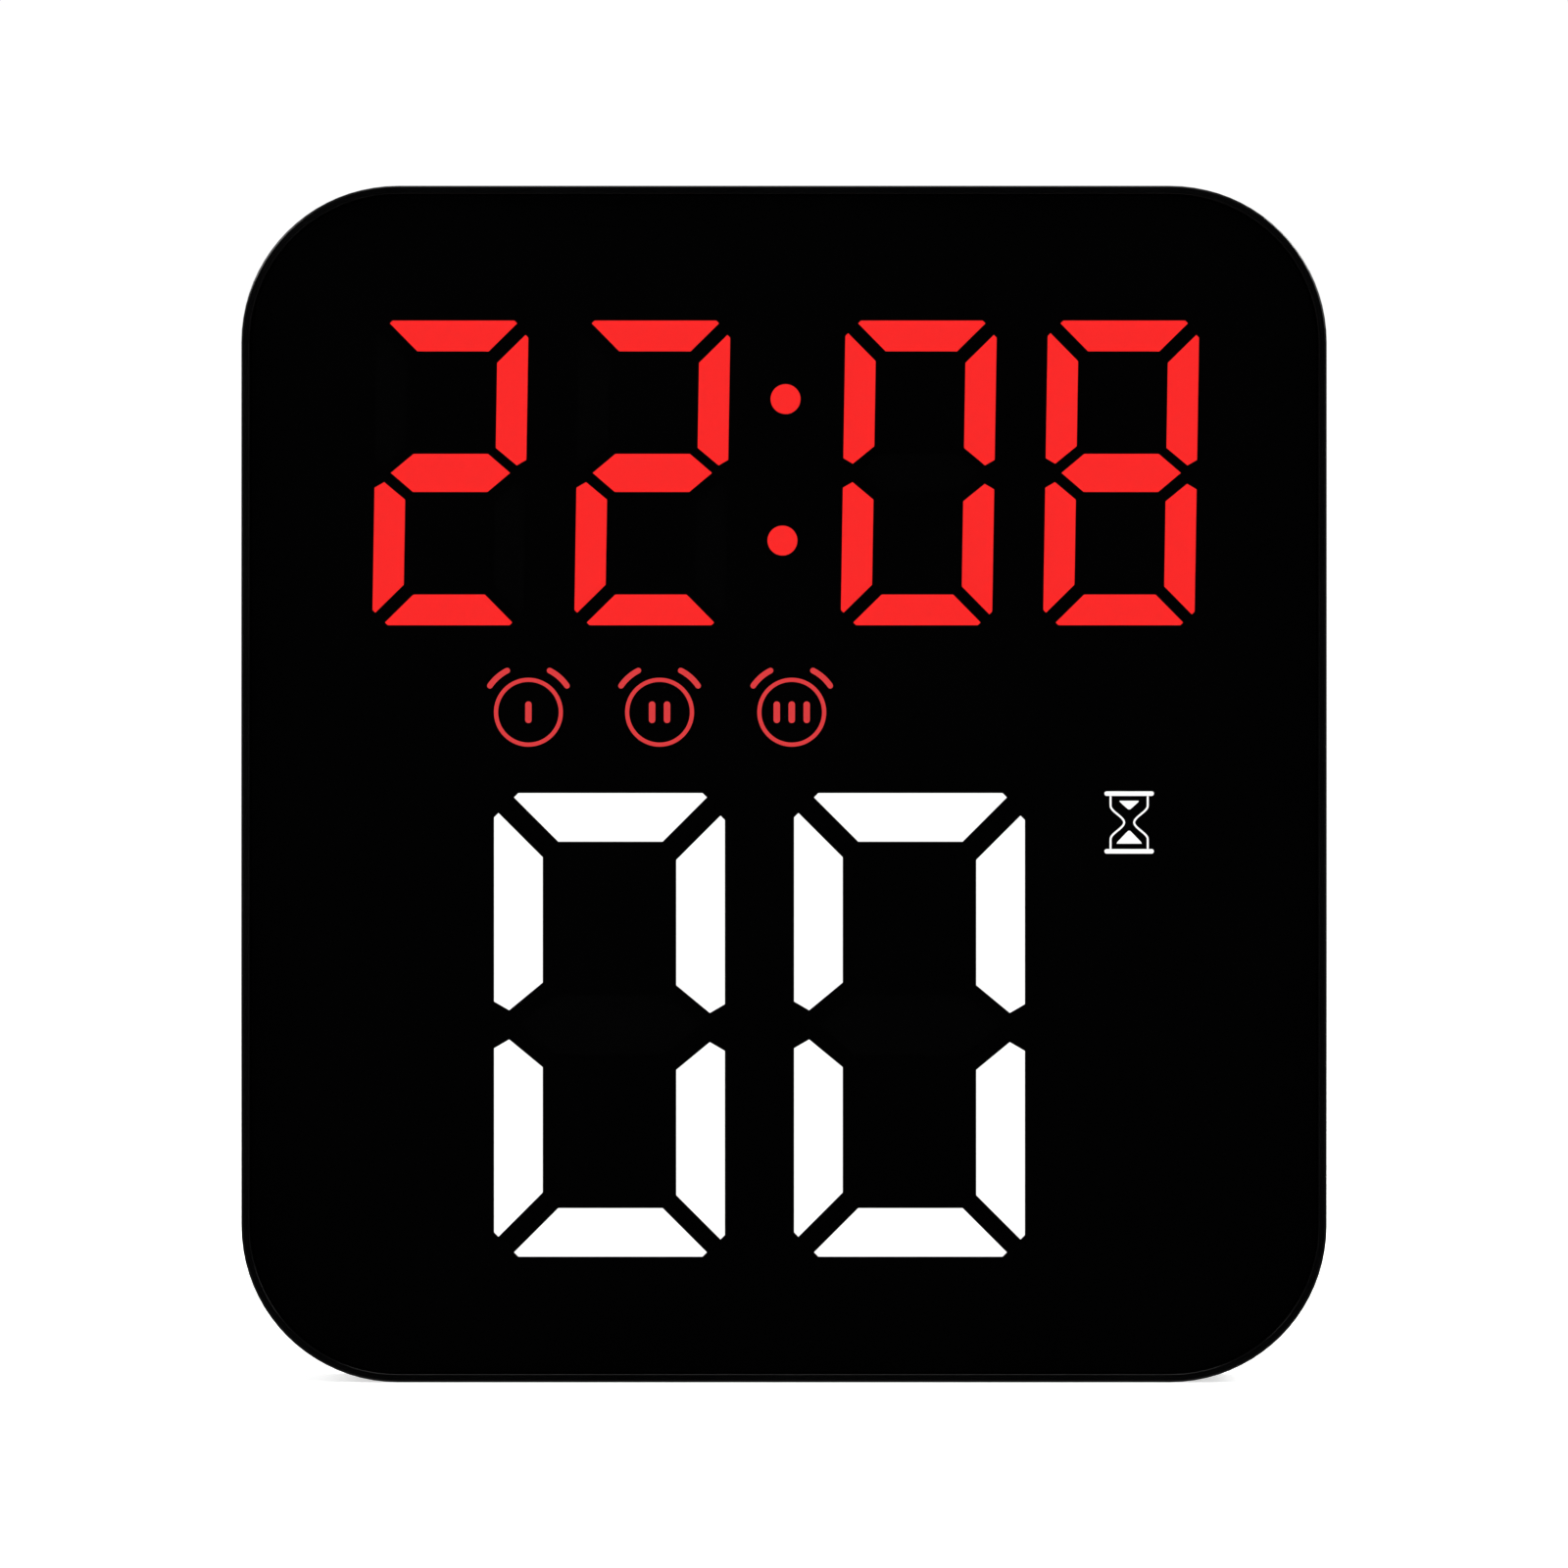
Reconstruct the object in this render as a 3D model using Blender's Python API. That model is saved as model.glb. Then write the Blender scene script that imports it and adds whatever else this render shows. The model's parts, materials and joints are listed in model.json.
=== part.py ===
"""Wall or table LED round timer: a black case with a smoked front, segment light boxes, boards, rear keys,
a folding stand and a coin-cell hatch.

Run with: blender --background --python part.py

Frame: +Z up, +Y to the rear, +X to the right as seen from the front. The origin is at the middle of the
bottom edge, half way through the depth. Every dimension below is in millimetres. MM turns them into metres
when a mesh is made.
"""

import math

import bmesh
import bpy
from mathutils import Matrix, Vector

MM = 0.001

# Case envelope
WIDTH = 210.0
HEIGHT = 231.5
DEPTH = 28.0
CORNER = 30.3
CORNER_STEPS = 8
FRONT = -DEPTH / 2
REAR = DEPTH / 2
GAP = 0.3

# Front case
RIM = 1.6
WALL = 2.6
LEDGE_INSET = 6.0
LEDGE_FRONT = FRONT + 3.3
LEDGE_BACK = LEDGE_FRONT + 1.5
PARTING = 2.0

# Layers behind the front, each given as (front face, rear face)
LENS_Y = (FRONT + 0.2, FRONT + 2.2)
GASKET_Y = (LENS_Y[1] + GAP, LEDGE_FRONT - GAP)
FILM_Y = (-11.5, -11.3)
FILTER_Y = (-11.0, -10.8)
REFLECTOR_Y = (-10.5, -4.8)
BOARD_Y = (-4.5, -2.9)
PARTS_Y = BOARD_Y[1] + GAP

# Rear cover
BACK_SKIN = 2.2
INNER_BACK = REAR - BACK_SKIN
TONGUE_TIP = -1.0
TONGUE_INSET = (WALL + GAP, WALL + GAP + 1.3)
COVER_WALL = 2.4

# Case screws, at the centres of the four corner posts
SCREW_X = 93.0
SCREW_EDGE = 15.3
POST_RADIUS = 3.5
SCREW_HOLE = 1.5
SCREW_SHANK = 1.2
HEAD_BORE = 3.1
HEAD_RADIUS = 2.6
HEAD_SEAT = 10.2

# Posts inside the rear cover that hold the main board and the key board, each as (x, z)
SUPPORT_POSTS = ((-78.0, 128.0), (78.0, 128.0))
KEY_POSTS = ((-47.5, 171.0), (32.5, 171.0))

# Clock digits (hours and minutes) and colon
CLOCK_X = (-64.5, -25.5, 26.1, 65.2)
CLOCK_Z = 176.0
CLOCK_SIZE = (29.4, 59.1)
CLOCK_STROKE = 6.15
CLOCK_SLANT = math.radians(0.93)
COLON_DOTS = ((0.3, 190.3), (-0.3, 162.9))
COLON_RADIUS = 3.05

# Seconds digits
SECONDS_X = (-33.8, 24.1)
SECONDS_Z = 69.1
SECONDS_SIZE = (44.8, 89.9)
SECONDS_STROKE = 9.5

# Icons
ALARM_X = (-49.5, -24.1, 1.5)
ALARM_Z = 129.8
ALARM_WELL = (19.0, 17.4)
HOURGLASS = (66.8, 108.4)
HOURGLASS_WELL = (11.0, 13.4)

# Light boxes, each given as (low x, high x, low z, high z)
CLOCK_BOX = (-86.0, 86.0, 140.4, 213.5)
ICON_BOX = (-61.0, 13.0, 120.8, 140.0)
SECONDS_BOX = (-66.0, 76.0, 19.5, 120.4)
BOARD_BOX = (-86.0, 86.0, 18.0, 213.5)
BOARD_SCREWS = ((-82.5, 210.0), (82.5, 210.0), (-62.5, 23.5), (72.0, 23.5))

# Light-emitting diodes on the board
LED_SIZE = (2.8, 1.0, 2.2)

# Parts on the rear of the board
CHIP_Z = 124.0
CHIP_HEIGHT = 7.6
MCU_X = 0.0
DRIVER_X = -34.0
CRYSTAL_BOX = (15.0, 26.0, 121.5, 126.0)
CAPACITOR_X = 38.0
CAPACITOR_Z = (120.0, 132.0)
BUZZER_RADIUS = 6.0
BUZZER_TOP = 6.2

# Sensors on the front of the board, beside the seconds
SENSOR_X = -74.0
RECEIVER_Z = 59.2
LIGHT_SENSOR_Z = 80.0

# Keys on the rear, in a shallow recess
KEY_NAMES = ("mode", "set", "up", "down", "start")
KEY_X = (-40.0, -24.0, -8.0, 8.0, 24.0)
KEY_Z = 176.0
KEY_RECESS = (-50.0, 50.0, 168.0, 184.0)
KEY_FLOOR = REAR - 2.0
KEY_RADIUS = 4.5
KEY_BOARD_Y = (2.0, 3.2)
SWITCH_Y = (3.5, 7.0)
STEM_Y = (6.2, 8.6)
KEY_CAP_Y = (8.9, 13.4)
KEY_FLANGE = 5.4
SWITCH_HALF = 3.0
STEM_RADIUS = 1.7
SLIDER_X = 41.0
SLIDER_SLOT = (9.4, 4.6)
SLIDER_TRAVEL = 3.0
KNOB_SIZE = (5.2, 3.0)
KNOB_Y = (6.5, 13.2)

# Folding stand
STAND_HALF = 28.0
STAND_RECESS = STAND_HALF + 0.6
STAND_TOP = 108.6
STAND_FLOOR = 9.6
HINGE_Y = 10.4
HINGE_Z = 105.0
BARREL_RADIUS = 2.9
PIN_RADIUS = 1.2
PIN_HALF = 32.6
TROUGH_LOW = 101.0
LEG_Y = (10.0, 13.6)
LEG_TIP = 5.2
LEG_TAPER = (4.0, 24.0)
LEG_PANEL = (30.0, 92.0)
SCOOP = (28.0, 39.0, 14.0, 34.0)

# Power inlet pocket
POCKET = (-54.0, -38.0, 12.4, 40.0)
POCKET_FLOOR = 5.5
SOCKET_X = -46.0
SOCKET_Y = 8.3
SOCKET_SHELL = (8.94, 3.26)
SOCKET_Z = (40.3, 47.6)
NOTCH_HALF = 3.5
NOTCH_FLOOR = REAR - 6.0
POWER_BOARD_Y = (4.6, 5.8)

# Coin cell and its hatch
CELL_CENTRE = (62.0, 140.0)
CELL_RADIUS = 10.0
CELL_Y = (7.9, 11.1)
CELL_POCKET = 11.3
CELL_FLOOR = 6.8
HATCH_RADIUS = 13.2
HATCH_Y = (12.2, 13.8)

# Other features of the rear
KEYHOLE_X = 50.0
KEYHOLE_Z = 200.0
KEYHOLE_HEAD = 4.75
KEYHOLE_SLOT = 2.5
KEYHOLE_RISE = 9.0
BUZZER_CENTRE = (-62.0, 140.0)
SOUND_HOLE_RING = 4.2
VENT_COUNT = 9
VENT_PITCH = 6.0
VENT_Z = (138.0, 150.0)
LABEL_CENTRE = (-62.0, 88.0)
LABEL_SIZE = (40.0, 22.0)
PAD_X = 63.0
PAD_SIZE = (20.0, 8.0)
PAD_Y = 8.5
PAD_POCKET = 1.0
LABEL_POCKET = 0.8

AXIS_TURNS = {
    "X": Matrix.Rotation(math.radians(90.0), 4, "Y"),
    "Y": Matrix.Rotation(math.radians(-90.0), 4, "X"),
    "Z": Matrix.Identity(4),
}


# ---------------------------------------------------------------- outlines, as lists of (x, z)

def rounded(low_x, high_x, low_z, high_z, radius, steps=4):
    """A rectangle with round corners, anticlockwise as seen from the rear."""
    corners = (
        (high_x - radius, high_z - radius, 0.0),
        (low_x + radius, high_z - radius, 0.5 * math.pi),
        (low_x + radius, low_z + radius, math.pi),
        (high_x - radius, low_z + radius, 1.5 * math.pi),
    )
    points = []
    for centre_x, centre_z, start in corners:
        for step in range(steps + 1):
            angle = start + 0.5 * math.pi * step / steps
            points.append((centre_x + radius * math.cos(angle), centre_z + radius * math.sin(angle)))
    return points


def case_outline(inset):
    """The outline of the case, moved inwards by inset."""
    return rounded(
        -WIDTH / 2 + inset, WIDTH / 2 - inset, inset, HEIGHT - inset, CORNER - inset, CORNER_STEPS
    )


def circle(centre_x, centre_z, radius, sides=16):
    turns = (2 * math.pi * side / sides for side in range(sides))
    return [(centre_x + radius * math.cos(turn), centre_z + radius * math.sin(turn)) for turn in turns]


def rectangle(centre_x, centre_z, width, height):
    left, right = centre_x - width / 2, centre_x + width / 2
    low, high = centre_z - height / 2, centre_z + height / 2
    return [(right, high), (left, high), (left, low), (right, low)]


def keyhole(centre_x, centre_z):
    """A round entry with a narrower slot above it that ends in a half circle."""
    points = []
    opening = math.asin(KEYHOLE_SLOT / KEYHOLE_HEAD)
    sides = 14
    for step in range(sides + 1):
        angle = math.pi / 2 + opening + (2 * math.pi - 2 * opening) * step / sides
        points.append((centre_x + KEYHOLE_HEAD * math.cos(angle), centre_z + KEYHOLE_HEAD * math.sin(angle)))
    slot_z = centre_z + KEYHOLE_RISE
    for step in range(7):
        angle = math.pi * step / 6
        points.append((centre_x + KEYHOLE_SLOT * math.cos(angle), slot_z + KEYHOLE_SLOT * math.sin(angle)))
    return points


def digit_segments(centre_x, centre_z, size, stroke, slant=0.0):
    """The seven bars of a digit, whose ends are mitred at 45 degrees with a gap. All scale with stroke."""
    half_width, half_height = size[0] / 2, size[1] / 2
    mitre = 0.32 * stroke
    nip = 0.11 * stroke
    side = [
        (half_width, half_height - mitre - 2 * nip),
        (half_width - nip, half_height - mitre - nip),
        (half_width - stroke, half_height - mitre - stroke),
        (half_width - stroke, 0.87 * stroke),
        (half_width - 0.31 * stroke, 0.30 * stroke),
        (half_width, 0.48 * stroke),
    ]
    top = [
        (half_width - mitre - 2 * nip, half_height),
        (half_width - mitre - nip, half_height - nip),
        (half_width - mitre - stroke, half_height - stroke),
    ]
    top = top + [(-x, z) for x, z in reversed(top)]
    half_middle = 0.62 * stroke
    shoulder = half_width - 1.25 * stroke
    tip = half_width - 0.52 * stroke
    middle = [
        (tip, 0.0), (shoulder, half_middle), (-shoulder, half_middle),
        (-tip, 0.0), (-shoulder, -half_middle), (shoulder, -half_middle),
    ]
    bars = [top, side, [(x, -z) for x, z in side], [(x, -z) for x, z in top]]
    bars += [[(-x, -z) for x, z in side], [(-x, z) for x, z in side], middle]
    lean = math.tan(slant)
    return [[(centre_x + x + z * lean, centre_z + z) for x, z in bar] for bar in bars]


# ---------------------------------------------------------------- meshes

def prisms(outlines, low_y, high_y):
    """One closed straight body for each outline, from low_y to high_y."""
    mesh = bmesh.new()
    for outline in outlines:
        rings = [[mesh.verts.new((x, y, z)) for x, z in outline] for y in (low_y, high_y)]
        mesh.faces.new(rings[0])
        mesh.faces.new(list(reversed(rings[1])))
        bridge(mesh, rings[0], rings[1])
    bmesh.ops.recalc_face_normals(mesh, faces=mesh.faces)
    return mesh


def prism(outline, low_y, high_y):
    return prisms([outline], low_y, high_y)


def box(low, high):
    low_x, low_y, low_z = low
    high_x, high_y, high_z = high
    outline = [(high_x, high_z), (low_x, high_z), (low_x, low_z), (high_x, low_z)]
    return prism(outline, low_y, high_y)


def bridge(mesh, first, second):
    count = len(first)
    for index in range(count):
        following = (index + 1) % count
        mesh.faces.new((first[index], second[index], second[following], first[following]))


def loft(rings, loop=False):
    """A skin through rings of equal length, each given as (outline, y). A loop joins the last ring to the
    first, and an open one is closed by a flat face at each end."""
    mesh = bmesh.new()
    made = [[mesh.verts.new((x, y, z)) for x, z in outline] for outline, y in rings]
    for first, second in zip(made, made[1:]):
        bridge(mesh, first, second)
    if loop:
        bridge(mesh, made[-1], made[0])
    else:
        mesh.faces.new(made[0])
        mesh.faces.new(list(reversed(made[-1])))
    bmesh.ops.recalc_face_normals(mesh, faces=mesh.faces)
    return mesh


def turned(profile, centre, axis="Y", sides=16):
    """A body turned about an axis through centre. The profile lists (radius, distance along the axis)."""
    mesh = bmesh.new()
    rings = []
    for radius, along in profile:
        turns = (2 * math.pi * side / sides for side in range(sides))
        rings.append([mesh.verts.new((radius * math.cos(t), radius * math.sin(t), along)) for t in turns])
    for first, second in zip(rings, rings[1:]):
        bridge(mesh, first, second)
    mesh.faces.new(rings[0])
    mesh.faces.new(list(reversed(rings[-1])))
    bmesh.ops.recalc_face_normals(mesh, faces=mesh.faces)
    mesh.transform(Matrix.Translation(Vector(centre)) @ AXIS_TURNS[axis])
    return mesh


def cylinder(radius, start, end, centre, axis="Y", sides=16):
    return turned([(radius, start), (radius, end)], centre, axis, sides)


def strip(path, low_x, high_x, thickness):
    """A flat strip that follows a path of (y, z) points, with its thickness across the path."""
    sides = []
    for index, (y, z) in enumerate(path):
        before = path[max(index - 1, 0)]
        after = path[min(index + 1, len(path) - 1)]
        along = Vector((after[0] - before[0], after[1] - before[1])).normalized()
        across = Vector((-along.y, along.x)) * thickness / 2
        sides.append(((y + across.x, z + across.y), (y - across.x, z - across.y)))
    outline = [first for first, _ in sides] + [second for _, second in reversed(sides)]
    mesh = bmesh.new()
    rings = [[mesh.verts.new((x, y, z)) for y, z in outline] for x in (low_x, high_x)]
    bridge(mesh, rings[0], rings[1])
    for ring in rings:
        for index in range(len(path) - 1):
            mirror = len(outline) - 1 - index
            mesh.faces.new((ring[index], ring[index + 1], ring[mirror - 1], ring[mirror]))
    bmesh.ops.recalc_face_normals(mesh, faces=mesh.faces)
    return mesh


# ---------------------------------------------------------------- objects

def clear_scene():
    for leftover in list(bpy.data.objects):
        bpy.data.objects.remove(leftover, do_unlink=True)


def make_object(name, mesh, origin=(0.0, 0.0, 0.0)):
    """Turns a bmesh in millimetres into an object in metres whose origin is at the given point."""
    mesh.transform(Matrix.Scale(MM, 4) @ Matrix.Translation(-Vector(origin)))
    data = bpy.data.meshes.new(name)
    mesh.to_mesh(data)
    mesh.free()
    made = bpy.data.objects.new(name, data)
    made.location = Vector(origin) * MM
    bpy.context.scene.collection.objects.link(made)
    return made


def combine(target, meshes, operation):
    """Applies a Boolean with each mesh in turn, and leaves no helper behind."""
    helpers = [make_object("helper", mesh) for mesh in meshes]
    for helper in helpers:
        modifier = target.modifiers.new("combine", "BOOLEAN")
        modifier.operation = operation
        modifier.solver = "EXACT"
        modifier.object = helper
    bpy.context.view_layer.update()
    graph = bpy.context.evaluated_depsgraph_get()
    result = bpy.data.meshes.new_from_object(target.evaluated_get(graph))
    target.modifiers.clear()
    target.data = result
    for helper in helpers:
        bpy.data.objects.remove(helper, do_unlink=True)
    return target


def add(target, *meshes):
    return combine(target, meshes, "UNION")


def cut(target, *meshes):
    return combine(target, meshes, "DIFFERENCE")


def finish(target, look, smooth=False):
    """Gives the object its material and, on round pieces, smooth shading between the sharp edges."""
    target.data.materials.clear()
    target.data.materials.append(look)
    if smooth:
        target.data.shade_smooth()
        target.data.set_sharp_from_angle(angle=math.radians(35.0))
    return target


def look(name, colour, roughness, metallic=0.0):
    made = bpy.data.materials.new(name)
    made.use_nodes = True
    shader = made.node_tree.nodes["Principled BSDF"]
    shader.inputs["Base Color"].default_value = (*colour, 1.0)
    shader.inputs["Roughness"].default_value = roughness
    shader.inputs["Metallic"].default_value = metallic
    made.diffuse_color = (*colour, 1.0)
    return made


def make_looks():
    return {
        "smoked_acrylic": look("smoked_acrylic", (0.004, 0.004, 0.005), 0.08),
        "black_gloss": look("black_gloss", (0.006, 0.006, 0.007), 0.25),
        "black_case": look("black_case", (0.018, 0.018, 0.020), 0.55),
        "black_film": look("black_film", (0.004, 0.004, 0.004), 0.45),
        "foam_tape": look("foam_tape", (0.015, 0.015, 0.015), 0.9),
        "red_filter": look("red_filter", (0.95, 0.03, 0.02), 0.4),
        "white_filter": look("white_filter", (0.95, 0.95, 0.95), 0.4),
        "white_reflector": look("white_reflector", (0.82, 0.82, 0.80), 0.4),
        "circuit_board": look("circuit_board", (0.02, 0.16, 0.07), 0.35),
        "chip_black": look("chip_black", (0.02, 0.02, 0.022), 0.5),
        "tinned_steel": look("tinned_steel", (0.62, 0.62, 0.60), 0.3, 1.0),
        "zinc_steel": look("zinc_steel", (0.45, 0.45, 0.47), 0.35, 1.0),
        "key_rubber": look("key_rubber", (0.10, 0.10, 0.105), 0.6),
        "rubber": look("rubber", (0.02, 0.02, 0.02), 0.85),
        "wire_grey": look("wire_grey", (0.35, 0.35, 0.36), 0.5),
        "label_silver": look("label_silver", (0.45, 0.45, 0.46), 0.4),
    }


# ---------------------------------------------------------------- case

def corner_posts():
    """The (x, z) centres of the four case screws."""
    return [(x, z) for z in (SCREW_EDGE, HEIGHT - SCREW_EDGE) for x in (-SCREW_X, SCREW_X)]


def front_case(looks):
    sections = (
        (0.0, PARTING), (0.0, FRONT + 0.6), (0.6, FRONT), (RIM, FRONT), (RIM, LEDGE_FRONT),
        (LEDGE_INSET, LEDGE_FRONT), (LEDGE_INSET, LEDGE_BACK), (WALL, LEDGE_BACK), (WALL, PARTING),
    )
    case = make_object("front_case", loft([(case_outline(inset), y) for inset, y in sections], loop=True))
    post_top = TONGUE_TIP - 0.5
    posts = [cylinder(POST_RADIUS, LEDGE_BACK - 0.7, post_top, (x, 0, z)) for x, z in corner_posts()]
    holes = [cylinder(SCREW_HOLE, LEDGE_BACK + 0.7, 0.0, (x, 0, z), sides=12) for x, z in corner_posts()]
    cut(add(case, *posts), *holes)
    return finish(case, looks["black_gloss"], smooth=True)


def front_lens(looks):
    low, high = LENS_Y
    inset = RIM + GAP
    rings = [(case_outline(inset + 0.3), low), (case_outline(inset), low + 0.3), (case_outline(inset), high)]
    return finish(make_object("front_lens", loft(rings)), looks["smoked_acrylic"], smooth=True)


def lens_gasket(looks):
    outer, inner = RIM + 2 * GAP, LEDGE_INSET - GAP
    low, high = GASKET_Y
    rings = [(case_outline(outer), low), (case_outline(outer), high), (case_outline(inner), high),
             (case_outline(inner), low)]
    return finish(make_object("lens_gasket", loft(rings, loop=True)), looks["foam_tape"])


def mask_film(looks):
    """A thin black sheet, printed so that it is clear only over the lit shapes."""
    outline = case_outline(LEDGE_INSET + GAP)
    return finish(make_object("mask_film", prism(outline, *FILM_Y)), looks["black_film"])


def colour_filters(looks):
    """Diffusing sheets between the black film and the light boxes: red for the clock and the alarm icons,
    white for the seconds and the hourglass."""
    low_x, high_x, _, high_z = CLOCK_BOX
    red = prism(rounded(low_x, high_x, ICON_BOX[2], high_z, 1.5, 2), *FILTER_Y)
    finish(make_object("clock_filter", red), looks["red_filter"])
    white = prism(rounded(*SECONDS_BOX, 1.5, 2), *FILTER_Y)
    finish(make_object("seconds_filter", white), looks["white_filter"])


def cover_shell():
    """The cover's skin: a rounded back, side walls, and a tongue that reaches into the front case."""
    sections = (
        (1.6, REAR), (0.5, REAR - 0.5), (0.0, REAR - 1.6), (0.0, PARTING + GAP),
        (TONGUE_INSET[0], PARTING + GAP), (TONGUE_INSET[0], TONGUE_TIP), (TONGUE_INSET[1], TONGUE_TIP),
        (TONGUE_INSET[1], PARTING + 2.0), (COVER_WALL, PARTING + 3.2), (COVER_WALL, INNER_BACK),
    )
    return loft([(case_outline(inset), y) for inset, y in sections])


def cover_additions():
    """Posts and the walls of the recesses, each sunk into the skin by a little."""
    root = INNER_BACK + 0.8
    pieces = [cylinder(POST_RADIUS, TONGUE_TIP - 0.2, root, (x, 0, z)) for x, z in corner_posts()]
    pieces += [cylinder(2.5, PARTS_Y, root, (x, 0, z), sides=12) for x, z in SUPPORT_POSTS]
    pieces += [cylinder(1.5, KEY_BOARD_Y[1] + GAP, root, (x, 0, z), sides=10) for x, z in KEY_POSTS]
    wide = STAND_RECESS + 2.2
    pieces.append(box((-wide, STAND_FLOOR - 2.2, 1.2), (wide, root, STAND_TOP + 2.2)))
    hinge_half = PIN_HALF + 2.0
    pieces.append(box((-hinge_half, HINGE_Y - BARREL_RADIUS - 2.6, TROUGH_LOW - 1.5),
                      (hinge_half, root, STAND_TOP + 2.2)))
    low_x, high_x, low_z, high_z = SCOOP
    pieces.append(box((low_x - 8, STAND_FLOOR - 2.2, low_z - 2), (high_x + 2, root, high_z + 2)))
    low_x, high_x, low_z, high_z = POCKET
    left, right = SOCKET_X - NOTCH_HALF - 1.5, SOCKET_X + NOTCH_HALF + 1.5
    inlet_wall = [(high_x + 2, high_z + 2), (low_x - 2, high_z + 2), (low_x - 2, low_z - 2),
                  (left, low_z - 2), (left, 1.3), (right, 1.3), (right, low_z - 2), (high_x + 2, low_z - 2)]
    pieces.append(prism(inlet_wall, POCKET_FLOOR - 1.8, root))
    pieces.append(cylinder(HATCH_RADIUS + 2.0, CELL_FLOOR - 1.8, root, (CELL_CENTRE[0], 0, CELL_CENTRE[1]),
                           sides=24))
    low_x, high_x, low_z, high_z = KEY_RECESS
    pieces.append(box((low_x - 2, KEY_FLOOR - 2.2, low_z - 2), (high_x + 2, root, high_z + 2)))
    return pieces


def stand_cuts():
    """The recess of the stand, which is open at the bottom edge, with its hinge trough and finger scoop."""
    half = STAND_RECESS
    return [
        box((-half, STAND_FLOOR, -1.0), (half, REAR + 1, STAND_TOP)),
        box((-half, HINGE_Y - BARREL_RADIUS - 0.5, TROUGH_LOW), (half, STAND_FLOOR + 0.5, STAND_TOP)),
        cylinder(PIN_RADIUS + GAP, -PIN_HALF - GAP, PIN_HALF + GAP, (0, HINGE_Y, HINGE_Z), "X", sides=12),
        prism(rounded(*SCOOP, 5.0), STAND_FLOOR, REAR + 1),
    ]


def inlet_cuts():
    low_x, high_x, low_z, high_z = POCKET
    width, thickness = SOCKET_SHELL
    return [
        prism(rounded(low_x, high_x, low_z, high_z, 2.0), POCKET_FLOOR, REAR + 1),
        box((SOCKET_X - width / 2 - GAP, SOCKET_Y - thickness / 2 - GAP, high_z - 1),
            (SOCKET_X + width / 2 + GAP, SOCKET_Y + thickness / 2 + GAP, high_z + 3)),
        box((SOCKET_X - NOTCH_HALF, NOTCH_FLOOR, -1.0), (SOCKET_X + NOTCH_HALF, REAR + 1, low_z + 1)),
    ]


def hatch_cuts():
    centre = (CELL_CENTRE[0], 0, CELL_CENTRE[1])
    return [
        cylinder(HATCH_RADIUS + GAP, HATCH_Y[0] - GAP, REAR + 1, centre, sides=24),
        cylinder(CELL_POCKET, CELL_FLOOR, REAR, centre, sides=24),
    ]


def key_cuts():
    cuts = [prism(rounded(*KEY_RECESS, 4.0), KEY_FLOOR, REAR + 1)]
    holes = [circle(x, KEY_Z, KEY_RADIUS + GAP, 20) for x in KEY_X]
    holes.append(rectangle(SLIDER_X, KEY_Z, *SLIDER_SLOT))
    cuts.append(prisms(holes, KEY_FLOOR - 4, KEY_FLOOR + 1))
    return cuts


def grille_outlines():
    """Sound holes over the buzzer: one in the middle and six around it."""
    centre_x, centre_z = BUZZER_CENTRE
    places = [(centre_x, centre_z)]
    for step in range(6):
        angle = math.radians(60.0 * step)
        places.append((centre_x + SOUND_HOLE_RING * math.cos(angle),
                       centre_z + SOUND_HOLE_RING * math.sin(angle)))
    return [circle(x, z, 1.0, 8) for x, z in places]


def skin_openings():
    """Everything that goes straight through the flat back: keyholes, vents and sound holes."""
    outlines = [keyhole(x, KEYHOLE_Z) for x in (-KEYHOLE_X, KEYHOLE_X)]
    for slot in range(VENT_COUNT):
        x = VENT_PITCH * (slot - (VENT_COUNT - 1) / 2)
        outlines.append(rounded(x - 1.0, x + 1.0, *VENT_Z, 0.95, 2))
    return prisms(outlines + grille_outlines(), INNER_BACK - 1, REAR + 1)


def rear_cover(looks):
    cover = add(make_object("rear_cover", cover_shell()), *cover_additions())
    cut(cover, *stand_cuts(), *inlet_cuts(), *hatch_cuts(), *key_cuts(), skin_openings())
    screw_bores = [circle(x, z, SCREW_HOLE, 12) for x, z in corner_posts()]
    head_bores = [circle(x, z, HEAD_BORE, 16) for x, z in corner_posts()]
    label = rectangle(*LABEL_CENTRE, LABEL_SIZE[0] + 1, LABEL_SIZE[1] + 1)
    pads = [
        box((x - PAD_SIZE[0] / 2 - GAP, PAD_Y - PAD_SIZE[1] / 2 - GAP, -1.0),
            (x + PAD_SIZE[0] / 2 + GAP, PAD_Y + PAD_SIZE[1] / 2 + GAP, PAD_POCKET))
        for x in (-PAD_X, PAD_X)
    ]
    cut(cover, prisms(screw_bores, TONGUE_TIP - 1, HEAD_SEAT + 1), prisms(head_bores, HEAD_SEAT, REAR + 1),
        prism(label, REAR - LABEL_POCKET, REAR + 1), *pads)
    return finish(cover, looks["black_case"], smooth=True)


def foot_pads(looks):
    for side, x in (("left", -PAD_X), ("right", PAD_X)):
        outline_low = (x - PAD_SIZE[0] / 2, PAD_Y - PAD_SIZE[1] / 2, 0.0)
        outline_high = (x + PAD_SIZE[0] / 2, PAD_Y + PAD_SIZE[1] / 2, PAD_POCKET - GAP)
        finish(make_object("foot_pad_" + side, box(outline_low, outline_high)), looks["rubber"])


def rating_label(looks):
    outline = rounded(LABEL_CENTRE[0] - LABEL_SIZE[0] / 2, LABEL_CENTRE[0] + LABEL_SIZE[0] / 2,
                      LABEL_CENTRE[1] - LABEL_SIZE[1] / 2, LABEL_CENTRE[1] + LABEL_SIZE[1] / 2, 1.5, 3)
    low = REAR - LABEL_POCKET + GAP
    finish(make_object("rating_label", prism(outline, low, low + 0.3)), looks["label_silver"])


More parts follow.
